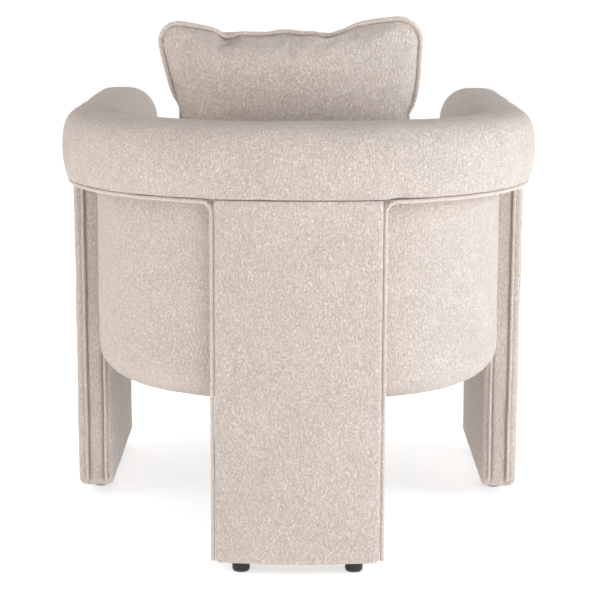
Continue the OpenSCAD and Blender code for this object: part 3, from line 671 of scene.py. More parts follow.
# ---- Leg covers ----
# Three upholstered slabs. Each is a sleeve of boucle over thin foam, sewn with piped seams up
# the narrow faces, and turned under and stapled at the foot. Above the tub's underside the slab
# lies against the drum, and its face runs on into the roll with only a flat seam.
leg_low_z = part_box("back_leg_cover")[0].z
leg_top_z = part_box("back_leg_cover")[1].z + 0.0004
leg_in = 0.003
leg_out = 0.063
leg_drum_in = 0.0532
sleeve_z = tub_low_z - 0.0005
side_foot_round = 0.014
back_foot_round = 0.006
leg_step = 0.008


def rounded_outline(low, high, corners, size):
    """Points round a rectangle with a radius for each corner, from the low-low corner on."""
    (x0, y0), (x1, y1) = low, high
    places = [(x0, y0, 180), (x1, y0, 270), (x1, y1, 0), (x0, y1, 90)]
    outline = []
    for (x, y, start), radius in zip(places, corners):
        cx = x + radius if x == x0 else x - radius
        cy = y + radius if y == y0 else y - radius
        for k in range(6):
            a = math.radians(start + 18 * k)
            outline.append((cx + radius * math.cos(a), cy + radius * math.sin(a)))
    full = []
    for i, point in enumerate(outline):
        after = outline[(i + 1) % len(outline)]
        gap = math.dist(point, after)
        count = max(1, round(gap / size))
        full += [(point[0] + (after[0] - point[0]) * k / count,
                  point[1] + (after[1] - point[1]) * k / count) for k in range(count)]
    return full


def leg_levels(foot):
    """Heights of a leg's rings from the foot up, each with how far the foot's edge is in."""
    curve = [(leg_low_z + foot * (1 - math.sin(math.radians(a))),
              foot * (1 - math.cos(math.radians(a)))) for a in (90, 75, 60, 45, 30, 15)]
    levels = [(leg_low_z + 0.0030, foot), (leg_low_z + 0.0002, 0.96 * foot)] + curve
    levels += [(z, 0) for z in steps(leg_low_z + foot, sleeve_z, leg_step)]
    levels += [(z, 0) for z in (sleeve_z, sleeve_z + 0.0015)]
    levels += [(z, 0) for z in steps(sleeve_z + leg_step, leg_top_z - 0.001, leg_step)]
    levels += [(leg_top_z - 0.001, 0), (leg_top_z, 0)]
    return levels


def slab_leg(name, across, outline, groove, foot, to_place):
    """A leg cover lofted up through its levels.

    outline is in (along, inset); groove gives how far a point is drawn in at a height.
    """
    rings = []
    middle_inset = (leg_in + leg_out) / 2
    for z, drawn_in in leg_levels(foot):
        above = z > sleeve_z + 0.001
        ring = []
        for along, inset in outline:
            reach = (across[1] - across[0]) / 2
            centre = (across[0] + across[1]) / 2
            f_along = 1 - drawn_in / reach
            f_inset = 1 - drawn_in / ((leg_out - leg_in) / 2)
            a = centre + (along - centre) * f_along
            d = middle_inset + (inset - middle_inset) * f_inset
            if above:
                d = leg_in + (d - leg_in) * (leg_drum_in - leg_in) / (leg_out - leg_in)
            a, d = groove(a, d, z, across)
            ring.append(to_place(a, d, z))
        rings.append(ring)
    piece = loft(name, rings)
    smoother(piece)
    piece.data.materials.append(boucle)
    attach(piece, "chair")
    return piece


seam_insets = (0.0205, 0.0485)
seam_width = 0.0042
seam_depth = 0.0048


def seam_sway(z, seam):
    """A hand-guided seam wanders by about a millimetre along its length."""
    return 0.0011 * noise.noise(Vector((z / 0.05, seam * 900, 0.5)))


def side_groove(along, inset, z, across):
    """Draws the narrow faces of a side leg in at its two upright seams."""
    for seam in seam_insets:
        apart = (inset - seam - seam_sway(z, seam)) / seam_width
        depth = seam_depth * math.exp(-apart * apart * 1.6)
        edge = 1 - ease(min(along - across[0], across[1] - along), 0.0, 0.006)
        along += depth * edge * (1 if along < (across[0] + across[1]) / 2 else -1)
    return along, inset


def back_groove(along, inset, z, across):
    """The back leg's cover is plain; its piping lies against its side faces."""
    return along, inset


def side_outline():
    """Plan outline of a side leg, with close points where its seams fall."""
    plain = rounded_outline((leg_front_y, leg_in), (leg_rear_y, leg_out),
                            (0.009, 0.009, 0.009, 0.009), 0.009)
    fine = []
    for i, point in enumerate(plain):
        after = plain[(i + 1) % len(plain)]
        fine.append(point)
        narrow_face = abs(point[0] - after[0]) < 1e-6
        if narrow_face:
            count = 5
            fine += [(point[0], point[1] + (after[1] - point[1]) * k / count)
                     for k in range(1, count)]
    return fine


for side, name in ((1, "right"), (-1, "left")):
    leg = slab_leg(f"side_leg_sleeve_{name}", (leg_front_y, leg_rear_y), side_outline(),
                   side_groove, side_foot_round, lambda a, d, z: (side * (half_w - d), a, z))
    ruffle(leg, 0.0010, 0.07, 7 + side)
    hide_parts(f"side_leg_cover_{name}")


def back_place(along, inset, z):
    """Place on the back leg: along is x and inset is measured from the plan line."""
    x = along
    y = back_cy + math.sqrt((back_r - inset) ** 2 - x * x)
    return x, y, z


back_leg = slab_leg("back_leg_sleeve", (-leg_half_x, leg_half_x),
                    rounded_outline((-leg_half_x, leg_in), (leg_half_x, leg_out),
                                    (0.006, 0.006, 0.008, 0.008), 0.009),
                    back_groove, back_foot_round, back_place)
ruffle(back_leg, 0.0010, 0.08, 11)
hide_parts("back_leg_cover")

# ---- Piping under the roll and down the back leg ----
# A cord in a bias strip of the same boucle is sewn along the roll's lower edge. Beside the back
# leg it turns down in a tight bend and is carried to the foot, so it frames the leg's face.
welt_r = 0.0032
welt_turn = 0.016
welt_z = roll_low.z - welt_r - 0.0003
welt_side_in = roll_tuck + welt_r + 0.0006
welt_leg_in = leg_in + welt_r + 0.002
welt_leg_x = leg_half_x + welt_r + 0.0004
welt_turn_s = arm_len + math.acos((welt_leg_x - corner_in) / (corner_r - welt_leg_in)) * corner_r


def piping(name, path, normals, radius, closed, seed):
    """A cord swept along a path: its cover gathers a little every few millimetres."""
    sides = 12
    rings = []
    count = len(path)
    for i, place in enumerate(path):
        before = path[(i - 1) % count] if closed else path[max(i - 1, 0)]
        after = path[(i + 1) % count] if closed else path[min(i + 1, count - 1)]
        run = (after - before).normalized()
        b = run.cross(normals[i]).normalized()
        c = b.cross(run)
        gather = 1 + 0.07 * noise.noise(Vector((i * 0.9, seed, 0))) \
            + 0.05 * noise.noise(Vector((i * 0.23, seed, 4)))
        rings.append([place + radius * gather * (math.cos(math.tau * j / sides) * b
                                                 + math.sin(math.tau * j / sides) * c)
                      for j in range(sides)])
    piece = loft(name, rings, closed)
    piece.data.materials.append(piping_cloth)
    return piece


def even_path(path, size, closed=False):
    """The same path with its points a given distance apart."""
    points = np.array([tuple(p) for p in path])
    if closed:
        points = np.vstack([points, points[:1]])
    gaps = np.linalg.norm(np.diff(points, axis=0), axis=1)
    run = np.concatenate([[0], np.cumsum(gaps)])
    count = max(2, round(run[-1] / size))
    wanted = np.linspace(0, run[-1], count + 1)
    columns = [np.interp(wanted, run, points[:, k]) for k in range(3)]
    even = [Vector(p) for p in zip(*columns)]
    return even[:-1] if closed else even


def joined(cords, name):
    """Several cords made one piece."""
    bpy.ops.object.select_all(action="DESELECT")
    for cord in cords:
        cord.select_set(True)
    bpy.context.view_layer.objects.active = cords[0]
    bpy.ops.object.join()
    cords[0].name = name
    cords[0].data.name = name
    return cords[0]


# The piping's boucle is a slightly darker copy of the panels' boucle: painted shade on the cords,
# which are of the same cloth.
piping_cloth = boucle_material("piping_boucle", 0.0018, (0.540, 0.458, 0.402),
                               (0.740, 0.655, 0.600), (0.83, 0.755, 0.705), 0.0010, 0.8)
for side, name in ((1, "right"), (-1, "left")):
    path = []
    start = leg_rear_y - front_y + welt_r + 0.0005
    bend_s = welt_turn_s - welt_turn
    for s in steps(start, bend_s, 0.004):
        settle = ease(s, welt_turn_s - 0.090, welt_turn_s - 0.010)
        inset = welt_side_in + (welt_leg_in - welt_side_in) * settle
        droop = 0.0006 * noise.noise(Vector((s / 0.05, side, 0)))
        path.append((*plan_point(s, inset), welt_z + droop))
    for k in range(13):
        a = math.pi / 2 * k / 12
        path.append((*plan_point(bend_s + welt_turn * math.sin(a), welt_leg_in),
                     welt_z - welt_turn * (1 - math.cos(a))))
    foot_x, foot_y = plan_point(welt_turn_s, welt_leg_in)
    path += [(foot_x, foot_y, z) for z in
             reversed(steps(leg_low_z + welt_r, welt_z - welt_turn - 0.004, 0.004))]
    path = [Vector((side * x, y, z)) for x, y, z in path]
    even = even_path(path, 0.0035)
    normals = [Vector((p.x * 0.35, max(p.y, 0.05), 0)).normalized() for p in even]
    cord = piping(f"roll_piping_{name}", even, normals, welt_r, False, 20 + side)
    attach(cord, "chair")
    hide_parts(f"roll_welt_{name}")

# ---- Piping on the side legs ----
# Each side leg has the same piping let into the two upright seams of its rear and front faces.
# The cords lie half sunk between the panels and stop just above the foot.
leg_cord_r = 0.0026
leg_cord_aside = 0.0022
for side, name in ((1, "right"), (-1, "left")):
    cords = []
    for seam in seam_insets:
        for face_y, out in ((leg_front_y, -1), (leg_rear_y, 1)):
            aside = -leg_cord_aside if seam == seam_insets[0] else leg_cord_aside
            path = []
            for z in steps(leg_low_z + 0.006, leg_top_z - 0.004, 0.004) + [leg_top_z - 0.004]:
                curl = side_foot_round * 0.8 * (1 - ease(z, leg_low_z + 0.004, leg_low_z + 0.02))
                inset = seam + aside + seam_sway(z, seam)
                path.append(Vector((side * (half_w - inset), face_y + out * (0.0006 - curl), z)))
            cords.append(piping(f"cord_{len(cords)}", path, [Vector((0, out, 0))] * len(path),
                                leg_cord_r, False, 30 + len(cords)))
    leg_piping = joined(cords, f"side_leg_piping_{name}")
    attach(leg_piping, "chair")
    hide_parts(f"side_leg_welts_{name}")

# ---- Strips under the roll ----
# Between the legs a strip of boucle closes the roll's underside from its piping to the drum.
# It is back-tacked along the piping and stapled at the drum.
strip_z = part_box("roll_underside_right")[1].z
strip_in = (roll_tuck + 2 * welt_r + 0.002, tub_in - 0.0005)
strip_t = 0.0018
strip_stops = [s for s in steps(leg_rear_y - front_y, half_len, 0.009)
               if plan_point(s, 0.03)[0] > leg_half_x + 0.001]
for side, name in ((1, "right"), (-1, "left")):
    columns = 5
    points = []
    for s in strip_stops:
        for k in range(columns):
            x, y = plan_point(s, strip_in[0] + (strip_in[1] - strip_in[0]) * k / (columns - 1))
            sag = 0.0006 * math.sin(math.pi * k / (columns - 1))
            points.append((side * x, y, strip_z - strip_t - sag))
    strip = add_mesh(f"roll_strip_{name}", points, grid_faces(len(strip_stops), columns))
    thick_sheet(strip, strip_t * 0.8, (0, 0, 2))
    smoother(strip)
    strip.data.materials.append(boucle)
    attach(strip, "chair")
    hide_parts(f"roll_underside_{name}")

# ---- Inside lining ----
# Above the seat the inside of the tub is boucle over thin foam, from one arm front round to the
# other. It is a little fuller halfway up and goes under the roll and the seat cushion.
lining_low, lining_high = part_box("inner_lining")
lining_in = 0.1025
lining_face = 0.120
lining_stops = whole_u(steps(tub_front_y - front_y, half_len, 0.009) + [half_len])
lining_rings = []
for s in lining_stops:
    section = []
    for k in range(15):
        f = k / 14
        z = lining_low.z + (lining_high.z - lining_low.z) * f
        full = 0.0035 * math.sin(math.pi * f) ** 0.6
        rounding = 0.004 * (1 - min(1, 8 * min(f, 1 - f))) ** 2
        section.append((lining_face - 0.0035 + full - rounding, z))
    section += [(lining_in + 0.001, lining_high.z - (lining_high.z - lining_low.z) * k / 6)
                for k in range(7)]
    lining_rings.append([(*plan_point(s, inset), z) for inset, z in section])
lining = loft("inside_lining", lining_rings)
ruffle(lining, 0.0008, 0.08, 14)
smoother(lining)
lining.data.materials.append(boucle)
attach(lining, "chair")
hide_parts("inner_lining")

# ---- Front facing ----
# The front of the tub is faced with boucle over foam: an apron below the seat, and a strip up
# the inside of each arm front. Its edges are rounded where the fabric turns over the boards.
facing_low, facing_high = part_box("front_facing")
facing_gap_x = half_w - roll_w
facing_gap_z = lining_low.z - 0.0005
facing_round = 0.007


def facing_shape(x, z):
    """Distance from a point of the facing to its nearest edge."""
    to_sides = min(facing_high.x - abs(x), z - facing_low.z, facing_high.z - z)
    if abs(x) >= facing_gap_x:
        to_gap = abs(x) - facing_gap_x if z > facing_gap_z else \
            math.hypot(abs(x) - facing_gap_x, facing_gap_z - z)
    else:
        to_gap = facing_gap_z - z
    return min(to_sides, to_gap)


def graded(low, high):
    """Grid lines that crowd towards both ends."""
    near = [0, 0.0007, 0.002, 0.004, 0.007]
    return [low + d for d in near] + steps(low + 0.012, high - 0.012, 0.012) \
        + [high - 0.012] + [high - d for d in reversed(near)]


facing_xs = graded(-facing_high.x, -facing_gap_x) + graded(-facing_gap_x, facing_gap_x)[1:] \
    + graded(facing_gap_x, facing_high.x)[1:]
facing_zs = graded(facing_low.z, facing_gap_z) + graded(facing_gap_z, facing_high.z)[1:]
points, faces, numbers = [], [], {}
for i, x in enumerate(facing_xs):
    for k, z in enumerate(facing_zs):
        edge = facing_shape(x, z)
        if edge > -1e-9:
            d = min(edge, facing_round)
            dip = facing_round - math.sqrt(max(0, facing_round ** 2 - (facing_round - d) ** 2))
            for layer, y in ((0, facing_low.y + dip), (1, facing_high.y)):
                numbers[i, k, layer] = len(points)
                points.append((x, y, z))
kept_cells = set()
for i in range(len(facing_xs) - 1):
    for k in range(len(facing_zs) - 1):
        middle_x = (facing_xs[i] + facing_xs[i + 1]) / 2
        middle_z = (facing_zs[k] + facing_zs[k + 1]) / 2
        if facing_shape(middle_x, middle_z) > 0:
            kept_cells.add((i, k))
            for layer in (0, 1):
                faces.append([numbers[i + a, k + b, layer]
                              for a, b in ((0, 0), (1, 0), (1, 1), (0, 1))])
for i, k in kept_cells:
    for di, dk, first, second in ((-1, 0, (0, 0), (0, 1)), (1, 0, (1, 0), (1, 1)),
                                  (0, -1, (0, 0), (1, 0)), (0, 1, (0, 1), (1, 1))):
        if (i + di, k + dk) not in kept_cells:
            a = (i + first[0], k + first[1])
            b = (i + second[0], k + second[1])
            faces.append([numbers[(*a, 0)], numbers[(*b, 0)], numbers[(*b, 1)],
                          numbers[(*a, 1)]])
facing = add_mesh("front_facing_cover", points, faces)
outward(facing)
ruffle(facing, 0.0007, 0.07, 16)
facing.data.materials.append(boucle)
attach(facing, "chair")
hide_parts("front_facing")

# ---- Deck ----
# The platform under the seat cushion is plain calico over felt, laid on the webbing and stapled
# to the rails. The felt lifts it a little in the middle.
deck_low, deck_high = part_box("deck_pad")
deck_inset = 0.1035


def plan_outline(inset, start_y, size=0.010):
    """Closed outline of the seat area at an inset, its front straight."""
    start = start_y - front_y
    stops = whole_u(steps(start, half_len, size) + [half_len])
    outline = [plan_point(s, inset) for s in stops]
    (x1, y1), (x0, y0) = outline[-1], outline[0]
    count = round((x0 - x1) / size)
    outline += [(x1 + (x0 - x1) * k / count, start_y) for k in range(1, count)]
    return outline


def plan_pad(name, outline, levels):
    """A closed pad. levels lists (share of the outline, distance in from it, height)."""
    xs = [p[0] for p in outline]
    ys = [p[1] for p in outline]
    centre = ((min(xs) + max(xs)) / 2, (min(ys) + max(ys)) / 2)
    rings = []
    for share, drawn_in, z in levels:
        ring = []
        for x, y in outline:
            away = Vector((x - centre[0], y - centre[1]))
            away *= share * (1 - drawn_in / max(away.length, 0.05))
            ring.append((centre[0] + away.x, centre[1] + away.y, z))
        rings.append(ring)
    return loft(name, rings)


deck_t = deck_high.z - deck_low.z
deck_levels = [(f, 0, deck_low.z) for f in (0.05, 0.3, 0.6, 0.85, 0.97)] \
    + [(1, 0, deck_low.z + 0.001), (1, 0, deck_low.z + 0.45 * deck_t)] \
    + [(f, 0, deck_low.z + deck_t * (0.6 + 0.4 * math.cos(math.pi / 2 * f ** 4)))
       for f in (0.99, 0.96, 0.9, 0.8, 0.65, 0.5, 0.3, 0.15, 0.05)]
deck = plan_pad("deck_platform", plan_outline(deck_inset, tub_front_y + 0.001), deck_levels)
calico = woven_material("calico", (0.48, 0.43, 0.36), (0.72, 0.68, 0.60),
                        0.0009, 0.0009, 0.0003, 0.5, 0.8)
deck.data.materials.append(calico)
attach(deck, "chair")
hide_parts("deck_pad")

# ---- Dust cover ----
# A thin black non-woven cloth closes the tub from below. It is cut to the base ring's shape,
# folded under at its edge and stapled every few centimetres.
dust_low, dust_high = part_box("dust_cover")
dust_inset = 0.105
dust_outline = plan_outline(dust_inset, dust_low.y, 0.012)
centre = (0.0, (dust_low.y + dust_high.y) / 2)
points, faces = [], []
shares = [1, 0.985, 0.93, 0.85, 0.72, 0.58, 0.42, 0.26, 0.12]
for share in shares:
    sag = 0.0035 * (1 - share * share)
    for x, y in dust_outline:
        points.append((centre[0] + (x - centre[0]) * share, centre[1] + (y - centre[1]) * share,
                       dust_low.z + 0.0006 - sag))
count = len(dust_outline)
points.append((centre[0], centre[1], dust_low.z + 0.0006 - 0.0035))
for i in range(len(shares) - 1):
    faces += [(i * count + j, i * count + (j + 1) % count, (i + 1) * count + (j + 1) % count,
               (i + 1) * count + j) for j in range(count)]
last = (len(shares) - 1) * count
faces += [(last + j, last + (j + 1) % count, len(points) - 1) for j in range(count)]
dust = add_mesh("dust_cloth", points, faces)
thick_sheet(dust, 0.0006, (0, 0, 2))
ruffle(dust, 0.0006, 0.05, 18)


def nonwoven_material(name, dark, light):
    """Thin spun cloth pressed with a grid of tiny dimples."""
    material, tree, shader = fresh_material(name)
    fibre = flecks(tree, 700, 4.0, 1.0)
    dimple = added(tree, "ShaderNodeTexVoronoi", {"Vector": mapped(tree), "Scale": 700,
                                                  "Randomness": 0.05})
    pressed = stretch(tree, dimple.outputs["Distance"], 0.1, 0.4, 0.0, 1.0)
    height = maths(tree, "ADD", pressed, maths(tree, "MULTIPLY", fibre, 0.5))
    finish(tree, shader, colour_blend(tree, fibre, dark, light),
           stretch(tree, pressed, 0, 1, 0.6, 0.9), height, 0.0002, 0.6)
    return material


dust_finish = nonwoven_material("dust_cloth", (0.010, 0.010, 0.012), (0.045, 0.045, 0.05))
dust.data.materials.append(dust_finish)
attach(dust, "chair")
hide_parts("dust_cover")

# Staples fix it: short wire bridges set along a line just inside its edge.
staple_pitch = 0.026
staple_width = 0.0095
staple_wire = 0.0009
staple_share = 0.972


def staple_tree():
    """Geometry nodes: bridges of wire spaced along a line, turned across it."""
    tree, given, result = node_group(
        "staples along a line", "GeometryNodeTree",
        (("Geometry", "Geometry"), ("Pitch", "Float"), ("Width", "Float"), ("Wire", "Float"),
         ("Finish", "Material")), (("Geometry", "Geometry"),))
    given = given.outputs
    line = added(tree, "GeometryNodeMeshToCurve", {"Mesh": given["Geometry"]})
    spaced = added(tree, "GeometryNodeCurveToPoints",
                   {"Curve": line.outputs["Curve"], "Length": given["Pitch"]}, mode="LENGTH")
    size = added(tree, "ShaderNodeCombineXYZ", {"X": given["Width"], "Y": given["Wire"],
                                                "Z": given["Wire"]})
    bar = added(tree, "GeometryNodeMeshCube", {"Size": size.outputs[0], "Vertices X": 4})
    round_bar = added(tree, "GeometryNodeSubdivisionSurface",
                      {"Mesh": bar.outputs["Mesh"], "Level": 1})
    turned = added(tree, "FunctionNodeAlignEulerToVector",
                   {"Vector": spaced.outputs["Tangent"]}, axis="X", pivot_axis="Z")
    placed = added(tree, "GeometryNodeInstanceOnPoints",
                   {"Points": spaced.outputs["Points"], "Instance": round_bar.outputs["Mesh"],
                    "Rotation": turned.outputs["Rotation"]})
    real = added(tree, "GeometryNodeRealizeInstances", {0: placed.outputs["Instances"]})
    coat = added(tree, "GeometryNodeSetMaterial", {"Geometry": real.outputs["Geometry"],
                                                   "Material": given["Finish"]})
    tree.links.new(coat.outputs["Geometry"], result.inputs["Geometry"])
    return tree


def grown(base, tree, name, values):
    """Runs a geometry tree on a base mesh and gives the result as a plain mesh piece."""
    modifier = base.modifiers.new("Grow", "NODES")
    modifier.node_group = tree
    for item in tree.interface.items_tree:
        if item.in_out == "INPUT" and item.name in values:
            modifier[item.identifier] = values[item.name]
    bpy.context.view_layer.update()
    depsgraph = bpy.context.evaluated_depsgraph_get()
    mesh = bpy.data.meshes.new_from_object(base.evaluated_get(depsgraph))
    bpy.data.objects.remove(base)
    piece = bpy.data.objects.new(name, mesh)
    scene.collection.objects.link(piece)
    return piece


staple_line = [(centre[0] + (x - centre[0]) * staple_share,
                centre[1] + (y - centre[1]) * staple_share,
                dust_low.z - 0.0002) for x, y in dust_outline]
base = add_mesh("staple_line", staple_line, [])
base.data.edges.add(len(staple_line))
base.data.edges.foreach_set("vertices", [v for j in range(len(staple_line))
                                         for v in (j, (j + 1) % len(staple_line))])
staples = grown(base, staple_tree(), "dust_cloth_staples",
                {"Pitch": staple_pitch, "Width": staple_width, "Wire": staple_wire,
                 "Finish": zinc})
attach(staples, "chair")

# ---- Foot cloths ----
# The underside of each leg is closed with the same black cloth, cut to a strip inside the
# turned-under boucle and stapled. The glide studs come through it.
foot_cloth_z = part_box("leg_bottom_cloths")[0].z + 0.0006
foot_trim = 0.014
foot_parts = [("side_foot_cloth_right", 1, True), ("side_foot_cloth_left", -1, True),
              ("back_foot_cloth", 1, False)]
for name, side, is_side in foot_parts:
    points = []
    rows, columns = (46, 6) if is_side else (30, 6)
    for i in range(rows):
        for k in range(columns):
            inset = leg_in + foot_trim + (leg_out - leg_in - 2 * foot_trim) * k / (columns - 1)
            f = i / (rows - 1)
            if is_side:
                y = leg_front_y + foot_trim + (leg_rear_y - leg_front_y - 2 * foot_trim) * f
                x = side * (half_w - inset)
            else:
                x = (2 * f - 1) * (leg_half_x - foot_trim)
                y = back_place(x, inset, 0)[1]
            slack = 0.0006 * math.sin(math.pi * k / (columns - 1))
            points.append((x, y, foot_cloth_z - slack))
    cloth = add_mesh(name, points, grid_faces(rows, columns))
    thick_sheet(cloth, 0.0005, (0, 0, 2))
    cloth.data.materials.append(dust_finish)
    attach(cloth, "chair")
    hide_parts("leg_bottom_cloths")

# ---- Floor glides ----
# Two round black plastic glides turn on steel studs under each leg. The moulding has a fine
# eroded texture, and its rim has gone a little grey and smooth from the floor.
plastic, tree, shader = fresh_material("black_plastic")
eroded = flecks(tree, 1800)
height = added(tree, "ShaderNodeSeparateXYZ", {0: mapped(tree)}).outputs["Z"]
# The rim is paler and greyer where the floor has worn it.
paleness = maths(tree, "MULTIPLY", stretch(tree, height, 0.0, 0.004, 1.0, 0.0), flecks(tree, 260))
finish(tree, shader, colour_blend(tree, paleness, (0.012, 0.012, 0.013), (0.11, 0.11, 0.11)),
       stretch(tree, eroded, 0.3, 0.7, 0.38, 0.55), eroded, 0.0001, 0.5)
finish_nodes(["glide_pads"], plastic)

# ---- Seat cushion ----
# A loose boxed cushion fills the seat: boucle over a foam block, with piping round its top and
# bottom seams and a zip across the back. Pressure in a cloth simulation crowns its faces.
seat_low, seat_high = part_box("seat_cushion_cover")
seat_in = 0.1245
seat_edge = 0.020
swell_cap = 0.022
seat_give = np.array((0.18, 0.18, 0.75))
seat_keep_in = 0.1222
seat_seam_depth = 0.0030
seat_seam_width = 0.0055


def remeshed(piece, voxel):
    """An even skin of small squares over a closed piece, which replaces it."""
    modifier = piece.modifiers.new("Remesh", "REMESH")
    modifier.mode = "VOXEL"
    modifier.voxel_size = voxel
    bpy.context.view_layer.update()
    depsgraph = bpy.context.evaluated_depsgraph_get()
    mesh = bpy.data.meshes.new_from_object(piece.evaluated_get(depsgraph))
    piece.modifiers.remove(modifier)
    old = piece.data
    piece.data = mesh
    bpy.data.meshes.remove(old)
    smooth_shaded(piece.data)


def points_of(mesh):
    """The mesh's points as an array."""
    flat = np.zeros(len(mesh.vertices) * 3)
    mesh.vertices.foreach_get("co", flat)
    return flat.reshape(-1, 3)


def swell(piece, pressure, frames, stiffness, bending, full=None):
    """Points of a fabric shell after pressure has filled it; full says when to stop."""
    cloth = piece.modifiers.new("Cloth", "CLOTH")
    settings = cloth.settings
    settings.quality = 6
    settings.mass = 0.3
    settings.tension_stiffness = stiffness
    settings.compression_stiffness = stiffness
    settings.shear_stiffness = stiffness / 3
    settings.bending_stiffness = bending
    settings.use_pressure = True
    settings.uniform_pressure_force = pressure
    settings.effector_weights.gravity = 0
    cloth.collision_settings.use_collision = False
    cloth.collision_settings.use_self_collision = False
    cloth.point_cache.frame_start = 1
    cloth.point_cache.frame_end = frames
    result = points_of(piece.data)
    for step in range(1, frames + 1):
        scene.frame_set(step)
        depsgraph = bpy.context.evaluated_depsgraph_get()
        evaluated = piece.evaluated_get(depsgraph)
        result = points_of(evaluated.data)
        if full is not None and full(result):
            break
    piece.modifiers.remove(cloth)
    scene.frame_set(1)
    return result


def set_points(mesh, points):
    """Moves the mesh's points."""
    mesh.vertices.foreach_set("co", np.asarray(points, float).ravel())
    mesh.update()


seat_t = seat_high.z - seat_low.z
start_in = 0.004


def boxed_levels(edge, low, high, between):
    """Levels up a boxed pad's side, which is rounded by edge above low and below high."""
    turn = [math.radians(a) for a in (0, 30, 60, 90)]
    curve = [(edge * (1 - math.sin(a)), edge * (1 - math.cos(a))) for a in turn]
    return [(1, drawn_in, low + rise) for drawn_in, rise in curve] \
        + [(1, 0, z) for z in between] \
        + [(1, drawn_in, high - rise) for drawn_in, rise in reversed(curve)]


seat_levels = [(f, 0, seat_low.z) for f in (0.05, 0.5)] \
    + boxed_levels(seat_edge, seat_low.z, seat_high.z - start_in,
                   [seat_low.z + seat_t * f for f in (0.3, 0.5, 0.7)]) \
    + [(f, 0, seat_high.z - start_in) for f in (0.5, 0.05)]
seat_outline = plan_outline(seat_in + start_in, seat_low.y + start_in, 0.010)
seat = plan_pad("seat_cushion_boucle", seat_outline, seat_levels)
remeshed(seat, 0.0062)


def seat_limits(points):
    """Holds the cushion down on the deck and inside the tub's lining."""
    points = points.copy()
    points[:, 2] = np.maximum(points[:, 2], seat_low.z + 0.0002)
    points[:, 1] = np.maximum(points[:, 1], seat_low.y - 0.006)
    limit = corner_r - seat_keep_in
    straight = half_w - seat_keep_in
    for i, (x, y, z) in enumerate(points):
        if y < corner_y:
            points[i, 0] = min(straight, max(-straight, x))
            continue
        side = 1 if x > 0 else -1
        away = Vector((abs(x) - corner_in, y - corner_y))
        if abs(x) > corner_in and away.length > limit:
            away *= limit / away.length
            points[i, 0] = side * (corner_in + away.x)
            points[i, 1] = corner_y + away.y
        elif abs(x) <= corner_in:
            reach = back_r - seat_keep_in
            points[i, 1] = min(y, back_cy + math.sqrt(reach * reach - x * x))
    return points


rest = points_of(seat.data)
swollen = swell(seat, 4.0, 20, 22.0, 2.0)
moved = (swollen - rest) * seat_give
length = np.linalg.norm(moved, axis=1, keepdims=True)
capped = rest + moved * swell_cap * np.tanh(length / swell_cap) / np.maximum(length, 1e-9)
set_points(seat.data, seat_limits(capped))
seat_tree = BVHTree.FromObject(seat, bpy.context.evaluated_depsgraph_get())

# The piping goes round in the hollows where the top and bottom panels meet the side band.
seat_centre = Vector((0, (seat_low.y + seat_high.y) / 2, 0))
tuck_z = 0.0085


def seam_path(height, size=0.004):
    """A line round the cushion at a height, lying on its skin."""
    path = []
    for x, y in plan_outline(seat_in, seat_low.y, size):
        level = Vector((x, y, height))
        inward = (Vector((seat_centre.x, seat_centre.y, height)) - level).normalized()
        hit = seat_tree.ray_cast(level - inward * 0.06, inward)[0]
        path.append(hit if hit is not None else level)
    return path


def eased_path(path, rounds):
    """A closed path with its small kinks smoothed out."""
    line = np.array([tuple(p) for p in path])
    for _ in range(rounds):
        line = 0.5 * line + 0.25 * (np.roll(line, 1, 0) + np.roll(line, -1, 0))
    return [Vector(p) for p in line]


seam_lines = [eased_path(even_path(seam_path(height), 0.004, True), 6)
              for height in (seat_low.z + tuck_z, seat_high.z - tuck_z)]
cords = [piping(f"seat_cord_{number}", line, [Vector((0, 0, 1))] * len(line), welt_r, True,
                40 + number) for number, line in enumerate(seam_lines)]

# The skin is drawn in along each cord, so that the cord lies in a sewn hollow.
skin = points_of(seat.data)
facing_out = np.array([tuple(v.normal) for v in seat.data.vertices])
for line in (np.array([tuple(p) for p in path]) for path in seam_lines):
    near_seam = np.abs(skin[:, 2] - line[0, 2]) < 0.012
    for i in np.nonzero(near_seam)[0]:
        gap = np.sqrt(((line - skin[i]) ** 2).sum(1).min())
        skin[i] -= facing_out[i] * seat_seam_depth * math.exp(-(gap / seat_seam_width) ** 2)
set_points(seat.data, skin)
ruffle(seat, 0.0010, 0.06, 23)
set_points(seat.data, seat_limits(points_of(seat.data)))
smoother(seat)
seat_piping = joined(cords, "seat_cushion_piping")
seat.data.materials.append(boucle)
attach(seat, "seat_cushion")
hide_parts("seat_cushion_cover")
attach(seat_piping, "seat_cushion")
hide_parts("seat_cushion_welts")

# Inside is a block of pale open-cell foam, cut to the seat's shape with softened edges.
core_in = seat_in + 0.015
core_edge = 0.020
core_low, core_high = seat_low.z + 0.010, seat_high.z - 0.014
core_levels = [(f, 0, core_low) for f in (0.05, 0.4, 0.7, 0.9)] \
    + boxed_levels(core_edge, core_low, core_high,
                   [core_low + (core_high - core_low) * f for f in (0.4, 0.6)]) \
    + [(f, 0, core_high) for f in (0.9, 0.7, 0.4, 0.05)]
core = plan_pad("seat_foam_block", plan_outline(core_in, seat_low.y + 0.015, 0.012), core_levels)
foam, tree, shader = fresh_material("seat_foam")
cells = added(tree, "ShaderNodeTexVoronoi", {"Vector": mapped(tree), "Scale": 900})
cells = cells.outputs["Distance"]
ageing = stretch(tree, flecks(tree, 12, 2.0), 0.35, 0.7, 0, 0.4)
# Painted shade: the foam is darker in its pores, where the cells sink, and paler on the struts
# between them.
pore_shaded_colour = colour_blend(tree, cells, (0.55, 0.50, 0.30), (0.82, 0.78, 0.56))
finish(tree, shader, colour_blend(tree, ageing, pore_shaded_colour, (0.76, 0.68, 0.42)),
       stretch(tree, cells, 0, 0.6, 0.98, 0.8), cells, 0.0006, 0.8)
core.data.materials.append(foam)
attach(core, "seat_cushion")
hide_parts("seat_cushion_core")

